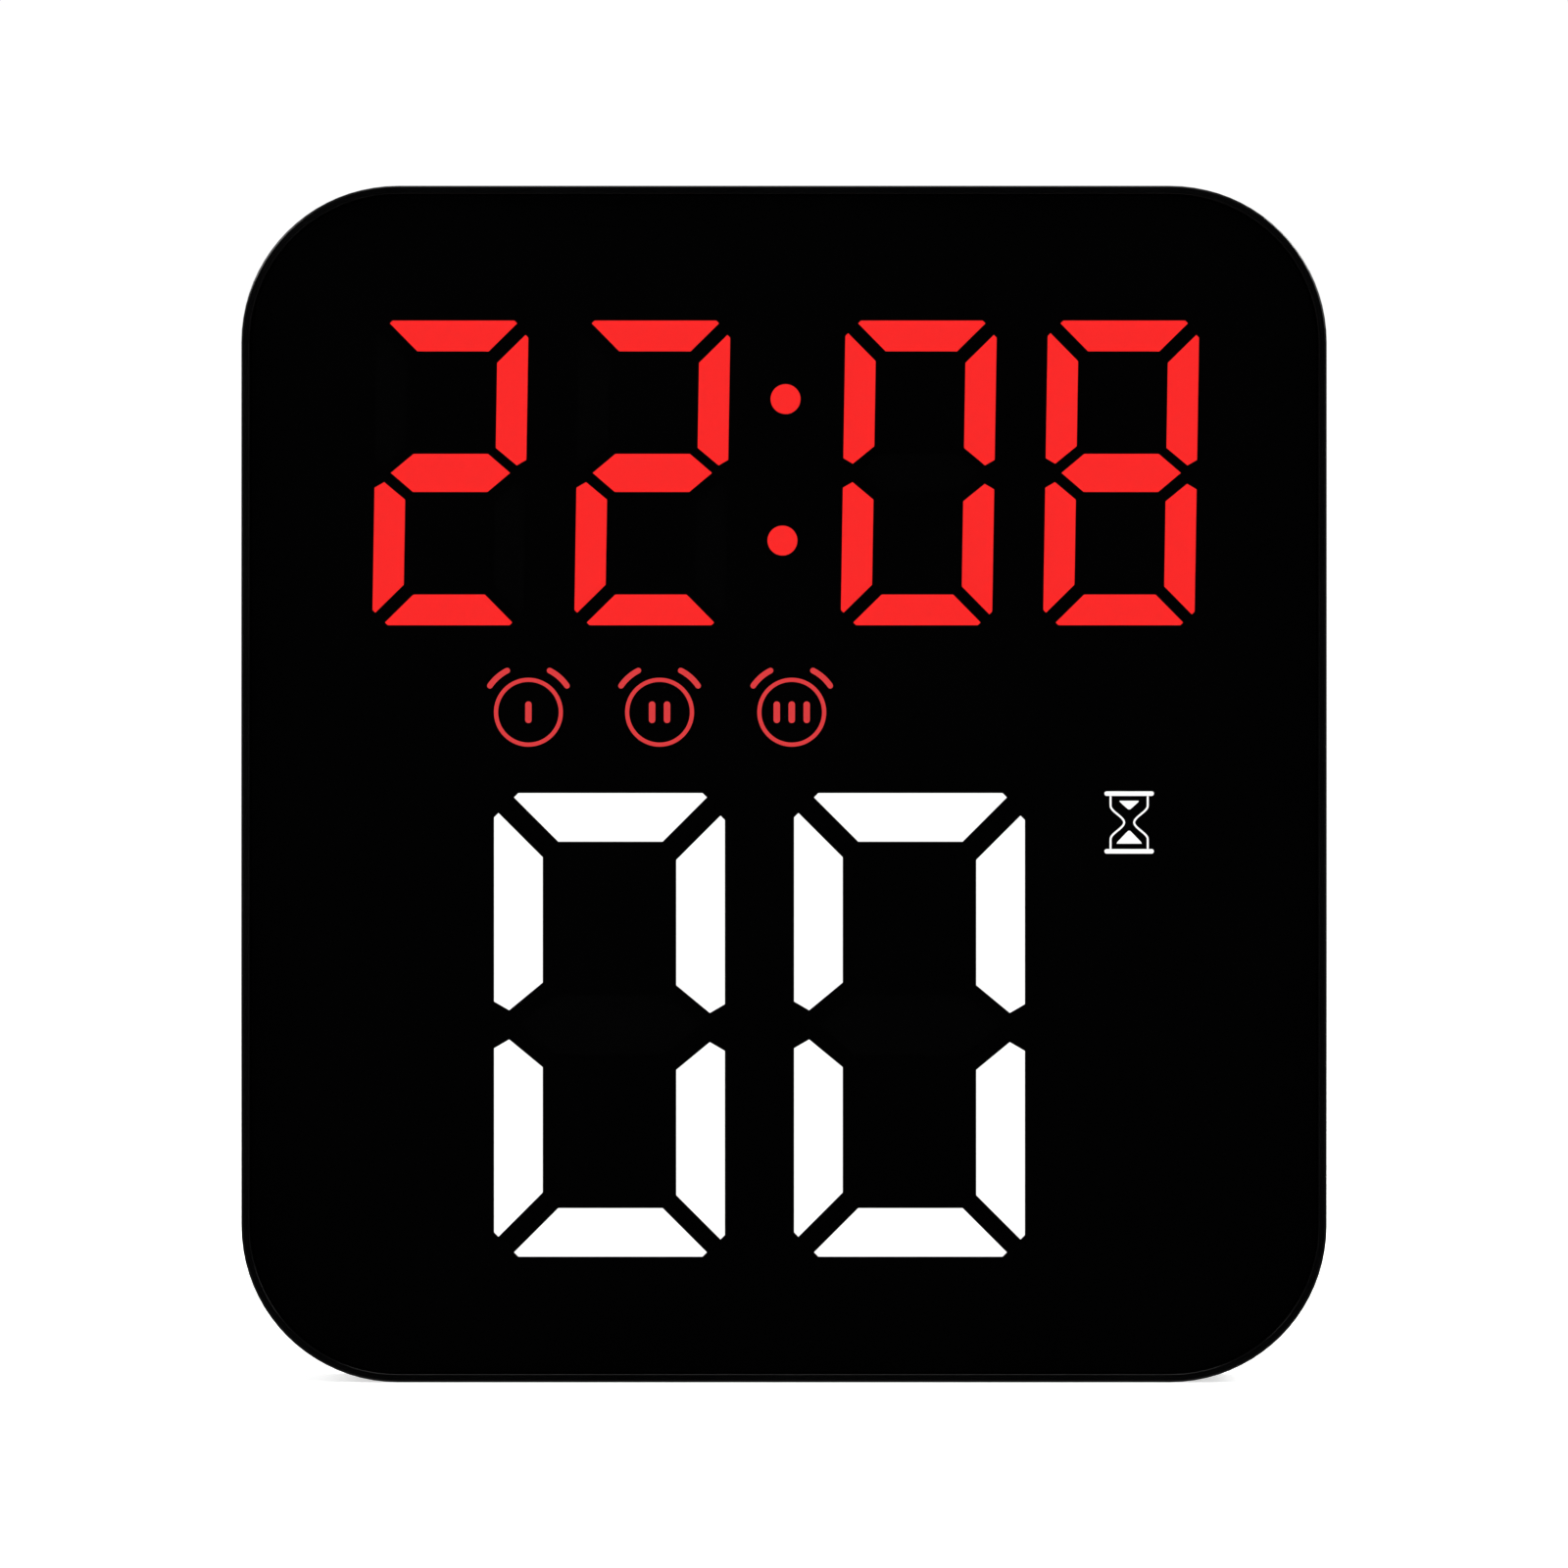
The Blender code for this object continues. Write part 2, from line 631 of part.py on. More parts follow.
def screw(name, x, z, head, shank, looks):
    """A pan-head screw along Y. head and shank each give (radius, start, end), with the head to the rear."""
    head_radius, head_low, head_high = head
    shank_radius, tip, _ = shank
    profile = [
        (shank_radius * 0.3, tip), (shank_radius, tip + 1.5), (shank_radius, head_low),
        (head_radius, head_low), (head_radius, head_high - 0.6), (head_radius * 0.7, head_high),
    ]
    finish(make_object(name, turned(profile, (x, 0, z), sides=12)), looks["zinc_steel"], smooth=True)


def case_screws(looks):
    for number, (x, z) in enumerate(corner_posts(), 1):
        head_low = HEAD_SEAT + GAP
        screw(f"case_screw_{number}", x, z, (HEAD_RADIUS, head_low, head_low + 2.0),
              (SCREW_SHANK, LEDGE_BACK + 1.2, head_low), looks)


# ---------------------------------------------------------------- display and boards

def clock_bars():
    return [bar for x in CLOCK_X for bar in
            digit_segments(x, CLOCK_Z, CLOCK_SIZE, CLOCK_STROKE, CLOCK_SLANT)]


def seconds_bars():
    return [bar for x in SECONDS_X for bar in
            digit_segments(x, SECONDS_Z, SECONDS_SIZE, SECONDS_STROKE)]


def light_box(name, bounds, wells, screws, looks):
    """A block of white plastic with one well through it for each lit shape, and blind holes for screws."""
    block = make_object(name, prism(rounded(*bounds, 1.5, 2), *REFLECTOR_Y))
    cut(block, prisms(wells, REFLECTOR_Y[0] - 1, REFLECTOR_Y[1] + 1))
    if screws:
        holes = [circle(x, z, 1.2, 10) for x, z in screws]
        cut(block, prisms(holes, REFLECTOR_Y[0] + 1.0, REFLECTOR_Y[1] + 1))
    return finish(block, looks["white_reflector"])


def light_boxes(looks):
    colon = [circle(x, z, COLON_RADIUS, 12) for x, z in COLON_DOTS]
    light_box("clock_reflector", CLOCK_BOX, clock_bars() + colon, BOARD_SCREWS[:2], looks)
    alarms = [rectangle(x, ALARM_Z + 0.6, *ALARM_WELL) for x in ALARM_X]
    light_box("icon_light_box", ICON_BOX, alarms, (), looks)
    glass = rectangle(*HOURGLASS, *HOURGLASS_WELL)
    light_box("seconds_reflector", SECONDS_BOX, seconds_bars() + [glass], BOARD_SCREWS[2:], looks)


def middle_of(outline):
    count = len(outline)
    return sum(x for x, _ in outline) / count, sum(z for _, z in outline) / count


def led_places():
    """One diode for each clock bar and icon, and two along each bar of the larger seconds digits."""
    places = [middle_of(bar) for bar in clock_bars()]
    places += [*COLON_DOTS, HOURGLASS] + [(x, ALARM_Z) for x in ALARM_X]
    for bar in seconds_bars():
        x, z = middle_of(bar)
        upright = max(p[1] for p in bar) - min(p[1] for p in bar) > 2 * SECONDS_STROKE
        step = (0.0, 7.0) if upright else (7.0, 0.0)
        places += [(x + step[0], z + step[1]), (x - step[0], z - step[1])]
    return places


def main_pcb(looks):
    board = make_object("main_pcb", prism(rounded(*BOARD_BOX, 3.0, 3), *BOARD_Y))
    width, thickness, height = LED_SIZE
    diodes = [rectangle(x, z, width, height) for x, z in led_places()]
    add(board, prisms(diodes, BOARD_Y[0] - thickness, BOARD_Y[0] + 0.5))
    cut(board, prisms([circle(x, z, 1.2, 10) for x, z in BOARD_SCREWS], BOARD_Y[0] - 1, BOARD_Y[1] + 1))
    return finish(board, looks["circuit_board"])


def board_screws(looks):
    for number, (x, z) in enumerate(BOARD_SCREWS, 1):
        screw(f"board_screw_{number}", x, z, (2.2, PARTS_Y, PARTS_Y + 1.5), (0.9, -9.0, PARTS_Y), looks)


def chip(name, centre_x, width, pins, looks):
    """A flat package with a row of leads along its upper and lower edge."""
    low = PARTS_Y
    body = make_object(name, box((centre_x - width / 2, low + 0.1, CHIP_Z - CHIP_HEIGHT / 2),
                                 (centre_x + width / 2, low + 2.3, CHIP_Z + CHIP_HEIGHT / 2)))
    pitch = width / pins
    leads = [rectangle(centre_x + pitch * (pin - (pins - 1) / 2), CHIP_Z, 0.5, CHIP_HEIGHT + 2.4)
             for pin in range(pins)]
    add(body, prisms(leads, low, low + 0.9))
    return finish(body, looks["chip_black"])


def board_parts(looks):
    chip("mcu", MCU_X, 17.6, 7, looks)
    chip("led_driver", DRIVER_X, 15.2, 6, looks)
    low_x, high_x, low_z, high_z = CRYSTAL_BOX
    can = rounded(*CRYSTAL_BOX, 2.2, 4)
    crown = rounded(low_x + 0.4, high_x - 0.4, low_z + 0.4, high_z - 0.4, 1.8, 4)
    crystal = loft([(can, PARTS_Y), (can, PARTS_Y + 3.0), (crown, PARTS_Y + 3.5)])
    finish(make_object("crystal", crystal), looks["tinned_steel"], smooth=True)
    for number, z in enumerate(CAPACITOR_Z, 1):
        profile = [(4.0, PARTS_Y), (4.0, PARTS_Y + 1.2), (3.7, PARTS_Y + 1.5), (4.0, PARTS_Y + 1.8),
                   (4.0, PARTS_Y + 8.6), (3.6, PARTS_Y + 9.0)]
        capacitor = make_object(f"capacitor_{number}", turned(profile, (CAPACITOR_X, 0, z)))
        finish(capacitor, looks["chip_black"], smooth=True)
    centre = (BUZZER_CENTRE[0], 0, BUZZER_CENTRE[1])
    profile = [(BUZZER_RADIUS, PARTS_Y), (BUZZER_RADIUS, BUZZER_TOP - 0.6), (BUZZER_RADIUS - 0.5, BUZZER_TOP)]
    buzzer = make_object("buzzer", turned(profile, centre, sides=20))
    cut(buzzer, cylinder(1.3, BUZZER_TOP - 1.6, BUZZER_TOP + 1, centre, sides=10))
    finish(buzzer, looks["chip_black"], smooth=True)


def front_sensors(looks):
    """The infrared receiver and the light sensor stand on the front of the board, beside the seconds."""
    low, high = BOARD_Y[0] - GAP, BOARD_Y[0] - 5.3
    package = box((SENSOR_X - 3.0, high + 1.5, RECEIVER_Z - 3.2), (SENSOR_X + 3.0, low, RECEIVER_Z + 3.2))
    receiver = make_object("ir_receiver", package)
    add(receiver, cylinder(2.4, high, high + 2.5, (SENSOR_X, 0, RECEIVER_Z), sides=14))
    finish(receiver, looks["chip_black"], smooth=True)
    profile = [(2.5, high + 2.6), (2.5, low - 0.8), (3.0, low - 0.8), (3.0, low)]
    sensor = make_object("light_sensor", turned(profile, (SENSOR_X, 0, LIGHT_SENSOR_Z)))
    finish(sensor, looks["label_silver"], smooth=True)


# ---------------------------------------------------------------- keys

def key_board(looks):
    low_x, high_x, low_z, high_z = KEY_RECESS
    outline = rounded(low_x, high_x, low_z, high_z, 1.5, 2)
    finish(make_object("key_pcb", prism(outline, *KEY_BOARD_Y)), looks["circuit_board"])
    ribbon = strip([(1.2, 178.0), (1.2, 166.0), (0.4, 161.5), (-1.6, 156.5), (-2.3, 152.0), (-2.3, 146.0)],
                   -5.0, 5.0, 0.5)
    finish(make_object("key_ribbon", ribbon), looks["wire_grey"])


def keys(looks):
    """Each key is a cap with a flange, over the stem of a tact switch. Cap and stem move together."""
    cap_low, cap_high = KEY_CAP_Y
    for number, (name, x) in enumerate(zip(KEY_NAMES, KEY_X), 1):
        housing = box((x - SWITCH_HALF, SWITCH_Y[0], KEY_Z - SWITCH_HALF),
                      (x + SWITCH_HALF, SWITCH_Y[1], KEY_Z + SWITCH_HALF))
        base = make_object(f"tact_switch_{number}", housing)
        cut(base, cylinder(2.1, SWITCH_Y[1] - 2.2, SWITCH_Y[1] + 1, (x, 0, KEY_Z), sides=12))
        finish(base, looks["chip_black"])
        stem = cylinder(STEM_RADIUS, *STEM_Y, (x, 0, KEY_Z), sides=12)
        finish(make_object(f"switch_stem_{number}", stem, (x, STEM_Y[0], KEY_Z)), looks["wire_grey"], True)
        profile = [(KEY_FLANGE, cap_low), (KEY_FLANGE, cap_low + 0.6), (KEY_RADIUS, cap_low + 0.6),
                   (KEY_RADIUS, cap_high - 0.5), (KEY_RADIUS - 0.5, cap_high)]
        cap = turned(profile, (x, 0, KEY_Z), sides=20)
        finish(make_object(f"button_{name}", cap, (x, cap_low, KEY_Z)), looks["key_rubber"], smooth=True)


def slide_switch(looks):
    housing = box((SLIDER_X - 6, 3.5, KEY_Z - 3.2), (SLIDER_X + 6, 8.4, KEY_Z + 3.2))
    body = make_object("slide_switch_body", housing)
    cut(body, box((SLIDER_X - 4.9, 6.0, KEY_Z - 1.9), (SLIDER_X + 4.9, 9.0, KEY_Z + 1.9)))
    finish(body, looks["tinned_steel"])
    left = SLIDER_X - SLIDER_TRAVEL / 2
    low, high = KNOB_Y
    half_width, half_height = KNOB_SIZE[0] / 2, KNOB_SIZE[1] / 2
    bar = box((left - half_width, low, KEY_Z - half_height), (left + half_width, high, KEY_Z + half_height))
    knob = make_object("slide_switch_knob", bar, (left, low, KEY_Z))
    grooves = [box((left - 0.3 + step, high - 0.5, KEY_Z - 2), (left + 0.3 + step, REAR, KEY_Z + 2))
               for step in (-1.4, 0.0, 1.4)]
    finish(cut(knob, *grooves), looks["key_rubber"])


# ---------------------------------------------------------------- power and memory cell

def power_inlet(looks):
    board = prism(rectangle(SOCKET_X, 52.0, 18.0, 18.8), *POWER_BOARD_Y)
    finish(make_object("power_pcb", board), looks["circuit_board"])
    width, thickness = SOCKET_SHELL
    low_z, high_z = SOCKET_Z

    def stadium(shrink, low, high):
        half_width, half_thick = width / 2 - shrink, thickness / 2 - shrink
        outline = rounded(-half_width, half_width, -half_thick, half_thick, half_thick * 0.98, 4)
        mesh = prism(outline, low, high)
        mesh.transform(Matrix.Translation((SOCKET_X, SOCKET_Y, 0)) @ Matrix.Rotation(math.pi / 2, 4, "X"))
        return mesh

    shell = make_object("usb_c_socket", stadium(0.0, low_z, high_z))
    cut(shell, stadium(0.32, low_z - 1, high_z - 1))
    add(shell, box((SOCKET_X - 3.3, SOCKET_Y - 0.35, low_z + 0.8),
                   (SOCKET_X + 3.3, SOCKET_Y + 0.35, high_z - 0.5)))
    finish(shell, looks["tinned_steel"])
    lead = strip([(4.05, 54.0), (4.05, 66.0), (3.2, 70.0), (-1.2, 77.0), (-2.2, 81.0), (-2.2, 88.0)],
                 SOCKET_X - 1.8, SOCKET_X + 1.8, 0.6)
    finish(make_object("power_lead", lead), looks["wire_grey"])


def coin_cell(looks):
    x, z = CELL_CENTRE
    low, high = CELL_Y
    cell = turned([(8.6, low), (8.9, low + 0.5), (9.6, low + 0.6), (CELL_RADIUS, low + 1.0),
                   (CELL_RADIUS, high - 0.3), (9.7, high)], (x, 0, z), sides=24)
    finish(make_object("coin_cell", cell), looks["tinned_steel"], smooth=True)
    negative = box((x - 2.5, CELL_FLOOR + GAP, z - 7.0), (x + 2.5, CELL_FLOOR + GAP + 0.3, z + 7.0))
    finish(make_object("battery_contact_negative", negative), looks["tinned_steel"])
    positive = box((x - 2.0, CELL_FLOOR + GAP, z + 10.3), (x + 2.0, CELL_Y[1] - 0.1, z + 10.6))
    finish(make_object("battery_contact_positive", positive), looks["tinned_steel"])
    low, high = HATCH_Y
    profile = [(CELL_POCKET - 0.8, low - 0.8), (CELL_POCKET - 0.8, low), (HATCH_RADIUS, low),
               (HATCH_RADIUS, high - 0.4), (HATCH_RADIUS - 0.4, high)]
    hatch = make_object("battery_cover", turned(profile, (x, 0, z), sides=32), (x, low, z))
    cut(hatch, prism(rounded(x - 6.0, x + 6.0, z - 1.0, z + 1.0, 0.95, 2), high - 1.0, high + 1))
    finish(hatch, looks["black_case"], smooth=True)


# ---------------------------------------------------------------- folding stand

def stand(looks):
    hinge = (0, HINGE_Y, HINGE_Z)
    half = STAND_HALF
    narrower, taper = LEG_TAPER
    outline = [(half, HINGE_Z), (-half, HINGE_Z), (-half, LEG_TIP + taper), (-half + narrower, LEG_TIP),
               (half - narrower, LEG_TIP), (half, LEG_TIP + taper)]
    leg = make_object("stand_leg", prism(outline, *LEG_Y), hinge)
    barrel = cylinder(BARREL_RADIUS, -half, half, hinge, "X", sides=20)
    add(leg, barrel)
    panel = rounded(-half + 6, half - 6, *LEG_PANEL, 5.0)
    bore = cylinder(PIN_RADIUS + GAP, -half - 1, half + 1, hinge, "X", sides=12)
    cut(leg, bore, prism(panel, LEG_Y[1] - 0.6, REAR + 1))
    finish(leg, looks["black_case"], smooth=True)
    pin = cylinder(PIN_RADIUS, -PIN_HALF, PIN_HALF, hinge, "X", sides=12)
    finish(make_object("stand_pin", pin, hinge), looks["zinc_steel"], smooth=True)
    foot = box((-half + 5, LEG_Y[0], 1.2), (half - 5, LEG_Y[1], LEG_TIP - GAP))
    finish(make_object("stand_foot", foot, hinge), looks["rubber"])


def build():
    clear_scene()
    looks = make_looks()
    front_case(looks)
    front_lens(looks)
    lens_gasket(looks)
    mask_film(looks)
    colour_filters(looks)
    rear_cover(looks)
    foot_pads(looks)
    rating_label(looks)
    case_screws(looks)
    light_boxes(looks)
    main_pcb(looks)
    board_screws(looks)
    board_parts(looks)
    front_sensors(looks)
    key_board(looks)
    keys(looks)
    slide_switch(looks)
    power_inlet(looks)
    coin_cell(looks)
    stand(looks)


build()
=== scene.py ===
"""The looks of the round timer: its lit display behind a smoked front, and its detailed rear.

Lengths are in millimetres in the row's frame (+Z up, +Y to the rear) and become metres as each mesh is made.
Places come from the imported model's own boxes and joints.
"""

import json
import math

import bmesh
import bpy
from mathutils import Matrix, Vector

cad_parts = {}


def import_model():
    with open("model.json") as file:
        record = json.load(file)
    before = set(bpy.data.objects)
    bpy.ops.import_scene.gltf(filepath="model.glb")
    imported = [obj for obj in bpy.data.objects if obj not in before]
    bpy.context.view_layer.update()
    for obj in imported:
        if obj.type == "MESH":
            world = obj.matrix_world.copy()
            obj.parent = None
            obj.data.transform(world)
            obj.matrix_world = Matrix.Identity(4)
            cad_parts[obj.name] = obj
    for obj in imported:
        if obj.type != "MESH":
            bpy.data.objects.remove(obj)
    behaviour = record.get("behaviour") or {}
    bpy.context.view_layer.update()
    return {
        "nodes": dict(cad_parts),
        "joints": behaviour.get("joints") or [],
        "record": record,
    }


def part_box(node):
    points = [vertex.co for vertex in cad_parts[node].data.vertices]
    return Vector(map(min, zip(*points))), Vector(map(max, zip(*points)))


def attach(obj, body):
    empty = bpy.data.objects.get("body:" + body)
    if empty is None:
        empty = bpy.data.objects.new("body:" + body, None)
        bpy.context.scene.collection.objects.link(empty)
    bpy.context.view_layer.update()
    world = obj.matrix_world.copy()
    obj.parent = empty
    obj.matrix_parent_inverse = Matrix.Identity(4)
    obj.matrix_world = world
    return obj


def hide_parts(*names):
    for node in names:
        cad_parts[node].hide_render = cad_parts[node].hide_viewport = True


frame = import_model()

MM = 0.001


def node_box(name):
    """The lowest and highest corner of a CAD node, in millimetres."""
    low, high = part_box(name)
    return low / MM, high / MM


def node_centre(name):
    low, high = node_box(name)
    return (low + high) / 2


# The case
CASE_LOW, CASE_HIGH = node_box("front_case")
LENS_LOW, LENS_HIGH = node_box("front_lens")
COVER_LOW, COVER_HIGH = node_box("rear_cover")
FRONT = CASE_LOW.y
PARTING = CASE_HIGH.y
REAR = COVER_HIGH.y
CORNER = 30.3
CORNER_STEPS = 20
RIM = 1.6
FRONT_EDGE = 0.5
RIM_FILLET = 0.2
LEDGE_INSET = 6.0
LEDGE_FRONT = FRONT + 3.3
LEDGE_BACK = FRONT + 4.8
WALL = 2.6
SEAM_BREAK = 0.25
GAP = 0.3
SKIN = 2.2
BACK_EDGE = 1.8

# Recess edges, and the walls round recesses on the inside of the cover
FILLET = 0.5
MOUTH = 0.35
RECESS_WALL = 2.0

# The lit display
FILM_FRONT = node_box("mask_film")[0].y
LIT_THICKNESS = 0.15
UNLIT_THICKNESS = 0.05
CLOCK_DIGITS = ((-64.6, "2"), (-25.5, "2"), (26.1, "0"), (65.3, "8"))
CLOCK_Z = 176.0
CLOCK_SIZE = (29.3, 59.0)
CLOCK_STROKE = 5.95
CLOCK_SLANT = math.radians(0.93)
COLON_DOTS = ((0.3, 190.3), (-0.3, 162.9))
COLON_RADIUS = 2.9
SECONDS_DIGITS = ((-33.8, "0"), (24.3, "0"))
SECONDS_Z = 69.1
SECONDS_SIZE = (44.7, 89.8)
SECONDS_STROKE = 9.42
LIT_BARS = {"0": (0, 1, 2, 3, 4, 5), "2": (0, 1, 6, 4, 3), "8": (0, 1, 2, 3, 4, 5, 6)}
ALARM_ICONS = ((-49.5, 1), (-24.1, 2), (1.5, 3))
ALARM_Z = 129.65
HOURGLASS = (66.85, 108.3)

# The rear
HINGE = Vector(next(j["pos_m"] for j in frame["joints"] if j["name"] == "stand_fold")) / MM
KEYHOLES = ((-50.0, 200.0), (50.0, 200.0))
KEYHOLE_HEAD = 4.75
KEYHOLE_SLOT = 2.5
KEYHOLE_RISE = 9.0
VENTS = [6.0 * step for step in range(-4, 5)]
VENT_LOW, VENT_HIGH = 138.0, 150.0
SOUND_HOLE_RINGS = ((0.0, 1), (4.2, 6))
KEY_FLOOR = REAR - 2.0
KEY_RECESS = (-50.0, 50.0, 168.0, 184.0)
KEY_HOLE_RADIUS = 4.8
SWITCH_TRAVEL = 3.0
SWITCH_SLOT = (9.4, 4.6)
KEY_NAMES = ("mode", "set", "up", "down", "start")
STAND_FLOOR = 9.6
TROUGH_LOW = 101.0
SCOOP = (28.0, 39.0, 14.0, 34.0)
POCKET = (-54.0, -38.0, 12.4, 40.0)
POCKET_FLOOR = 5.5
HATCH_FLOOR = 11.9
CELL_WELL_FLOOR = 6.8
SCREW_SEAT = 10.2
POST_RADIUS = 3.5
BORE_RADIUS = 1.5
PRINT_DEPTH = 0.05

AXIS_TURNS = {
    "X": Matrix.Rotation(math.radians(90.0), 4, "Y"),
    "Y": Matrix.Rotation(math.radians(-90.0), 4, "X"),
    "Z": Matrix.Identity(4),
}


# ---------------------------------------------------------------- outlines, as lists of (x, z)

def arc(centre_x, centre_z, radius, start, end, steps):
    """Points from start to end, in radians, with both ends."""
    turns = (start + (end - start) * step / steps for step in range(steps + 1))
    return [(centre_x + radius * math.cos(turn), centre_z + radius * math.sin(turn)) for turn in turns]


def rounded(low_x, high_x, low_z, high_z, radius, steps=6):
    """A rectangle with round corners, from the top right one and anticlockwise."""
    right, top = high_x - radius, high_z - radius
    left, bottom = low_x + radius, low_z + radius
    quarter = 0.5 * math.pi
    points = []
    for number, centre in enumerate(((right, top), (left, top), (left, bottom), (right, bottom))):
        points += arc(*centre, radius, number * quarter, (number + 1) * quarter, steps)
    return points


def grown(area, amount):
    """An area of (low x, high x, low z, high z) that is larger by an amount on every side."""
    low_x, high_x, low_z, high_z = area
    return low_x - amount, high_x + amount, low_z - amount, high_z + amount


def case_outline(inset):
    return rounded(CASE_LOW.x + inset, CASE_HIGH.x - inset, CASE_LOW.z + inset, CASE_HIGH.z - inset,
                   CORNER - inset, CORNER_STEPS)


def polygon(centre_x, centre_z, radius, sides, start=0.0):
    turns = (start + 2 * math.pi * side / sides for side in range(sides))
    return [(centre_x + radius * math.cos(turn), centre_z + radius * math.sin(turn)) for turn in turns]


def circle(centre_x, centre_z, radius, sides=32):
    return polygon(centre_x, centre_z, radius, sides)


def keyhole(centre_x, centre_z, grow=0.0):
    """A round entry with a narrower slot above it that ends in a half circle."""
    head, slot = KEYHOLE_HEAD + grow, KEYHOLE_SLOT + grow
    opening = math.asin(slot / head)
    start = math.pi / 2 + opening
    entry = arc(centre_x, centre_z, head, start, start + 2 * (math.pi - opening), 28)
    return entry + arc(centre_x, centre_z + KEYHOLE_RISE, slot, 0.0, math.pi, 12)


def band(path, width, round_ends=True):
    """The outline of a stroke of even width along a path of (x, z) points."""
    left, right = [], []
    for index, point in enumerate(path):
        before = Vector(path[max(index - 1, 0)])
        after = Vector(path[min(index + 1, len(path) - 1)])
        along = (after - before).normalized()
        across = Vector((-along.y, along.x)) * width / 2
        left.append(Vector(point) + across)
        right.append(Vector(point) - across)
    if not round_ends:
        return [tuple(p) for p in left + right[::-1]]
    far_end, near_end = round_end(path[-1], left[-1]), round_end(path[0], right[0])
    return [tuple(p) for p in left + far_end + right[::-1] + near_end]


def round_end(centre, start, steps=6):
    """Points of a half circle, clockwise from start about centre, without its ends."""
    arm = Vector(start) - Vector(centre)
    points = []
    for step in range(1, steps):
        cosine, sine = math.cos(-math.pi * step / steps), math.sin(-math.pi * step / steps)
        turned_arm = Vector((arm.x * cosine - arm.y * sine, arm.x * sine + arm.y * cosine))
        points.append(Vector(centre) + turned_arm)
    return points


def digit_segments(centre_x, centre_z, size, stroke, slant=0.0):
    """The seven bars of a digit, clockwise from the top one, and the middle one last.
    Their ends are mitred at 45 degrees with a gap, and all scale with stroke. The bars on the right sit a
    little lower, and the top and bottom bars reach a little further to them."""
    half_width, half_height = size[0] / 2, size[1] / 2
    mitre = 0.32 * stroke
    nip = 0.09 * stroke
    drop = 0.055 * stroke
    reach = 0.04 * stroke
    side = [
        (half_width, half_height - mitre - 2 * nip),
        (half_width - nip, half_height - mitre - nip),
        (half_width - stroke, half_height - mitre - stroke),
        (half_width - stroke, 0.87 * stroke),
        (half_width - 0.31 * stroke, 0.30 * stroke),
        (half_width, 0.48 * stroke),
    ]
    top = [
        (half_width - mitre - 2 * nip, half_height),
        (half_width - mitre - nip, half_height - nip),
        (half_width - mitre - stroke, half_height - stroke),
    ]
    top = [(x + reach, z) for x, z in top] + [(-x, z) for x, z in reversed(top)]
    half_middle = 0.62 * stroke
    shoulder = half_width - 1.25 * stroke
    tip = half_width - 0.52 * stroke
    middle = [
        (tip, 0.0), (shoulder, half_middle), (-shoulder, half_middle),
        (-tip, 0.0), (-shoulder, -half_middle), (shoulder, -half_middle),
    ]
    bars = [
        top,
        [(x, z - drop) for x, z in side],
        [(x, -z - drop) for x, z in side],
        [(x, -z) for x, z in top],
        [(-x, -z) for x, z in side],
        [(-x, z) for x, z in side],
        middle,
    ]
    lean = math.tan(slant)
    return [[(centre_x + x + z * lean, centre_z + z) for x, z in bar] for bar in bars]


# ---------------------------------------------------------------- meshes

def bridge(mesh, first, second):
    count = len(first)
    for index in range(count):
        following = (index + 1) % count
        mesh.faces.new((first[index], second[index], second[following], first[following]))


def prisms(outlines, low_y, high_y):
    """One closed straight body for each outline, from low_y to high_y."""
    mesh = bmesh.new()
    for outline in outlines:
        rings = [[mesh.verts.new((x, y, z)) for x, z in outline] for y in (low_y, high_y)]
        mesh.faces.new(rings[0])
        mesh.faces.new(list(reversed(rings[1])))
        bridge(mesh, rings[0], rings[1])
    bmesh.ops.recalc_face_normals(mesh, faces=mesh.faces)
    return mesh


def prism(outline, low_y, high_y):
    return prisms([outline], low_y, high_y)


def box(low, high):
    corners = [(high[0], high[2]), (low[0], high[2]), (low[0], low[2]), (high[0], low[2])]
    return prism(corners, low[1], high[1])


def ring_prism(outer, inner, low_y, high_y):
    """A flat ring between two outlines with the same number of points."""
    return loft([(outer, low_y), (outer, high_y), (inner, high_y), (inner, low_y)], loop=True)


def loft(rings, loop=False):
    """A skin through rings of equal length, each given as (outline, y)."""
    mesh = bmesh.new()
    made = [[mesh.verts.new((x, y, z)) for x, z in outline] for outline, y in rings]
    for first, second in zip(made, made[1:]):
        bridge(mesh, first, second)
    if loop:
        bridge(mesh, made[-1], made[0])
    else:
        mesh.faces.new(made[0])
        mesh.faces.new(list(reversed(made[-1])))
    bmesh.ops.recalc_face_normals(mesh, faces=mesh.faces)
    return mesh


def turned(profile, centre, axis="Y", sides=48):
    """A body turned about an axis through centre. The profile lists (radius, distance along the axis)."""
    mesh = bmesh.new()
    rings = []
    for radius, along in profile:
        turns = (2 * math.pi * side / sides for side in range(sides))
        rings.append([mesh.verts.new((radius * math.cos(t), radius * math.sin(t), along)) for t in turns])
    for first, second in zip(rings, rings[1:]):
        bridge(mesh, first, second)
    mesh.faces.new(rings[0])
    mesh.faces.new(list(reversed(rings[-1])))
    bmesh.ops.recalc_face_normals(mesh, faces=mesh.faces)
    mesh.transform(Matrix.Translation(Vector(centre)) @ AXIS_TURNS[axis])
    return mesh


def cylinder(radius, start, end, centre, axis="Y", sides=32):
    return turned([(radius, start), (radius, end)], centre, axis, sides)


def joined(*meshes):
    """One mesh that holds several separate bodies, as they are."""
    whole = bmesh.new()
    holder = bpy.data.meshes.new("holder")
    for mesh in meshes:
        mesh.to_mesh(holder)
        mesh.free()
        whole.from_mesh(holder)
    bpy.data.meshes.remove(holder)
    return whole


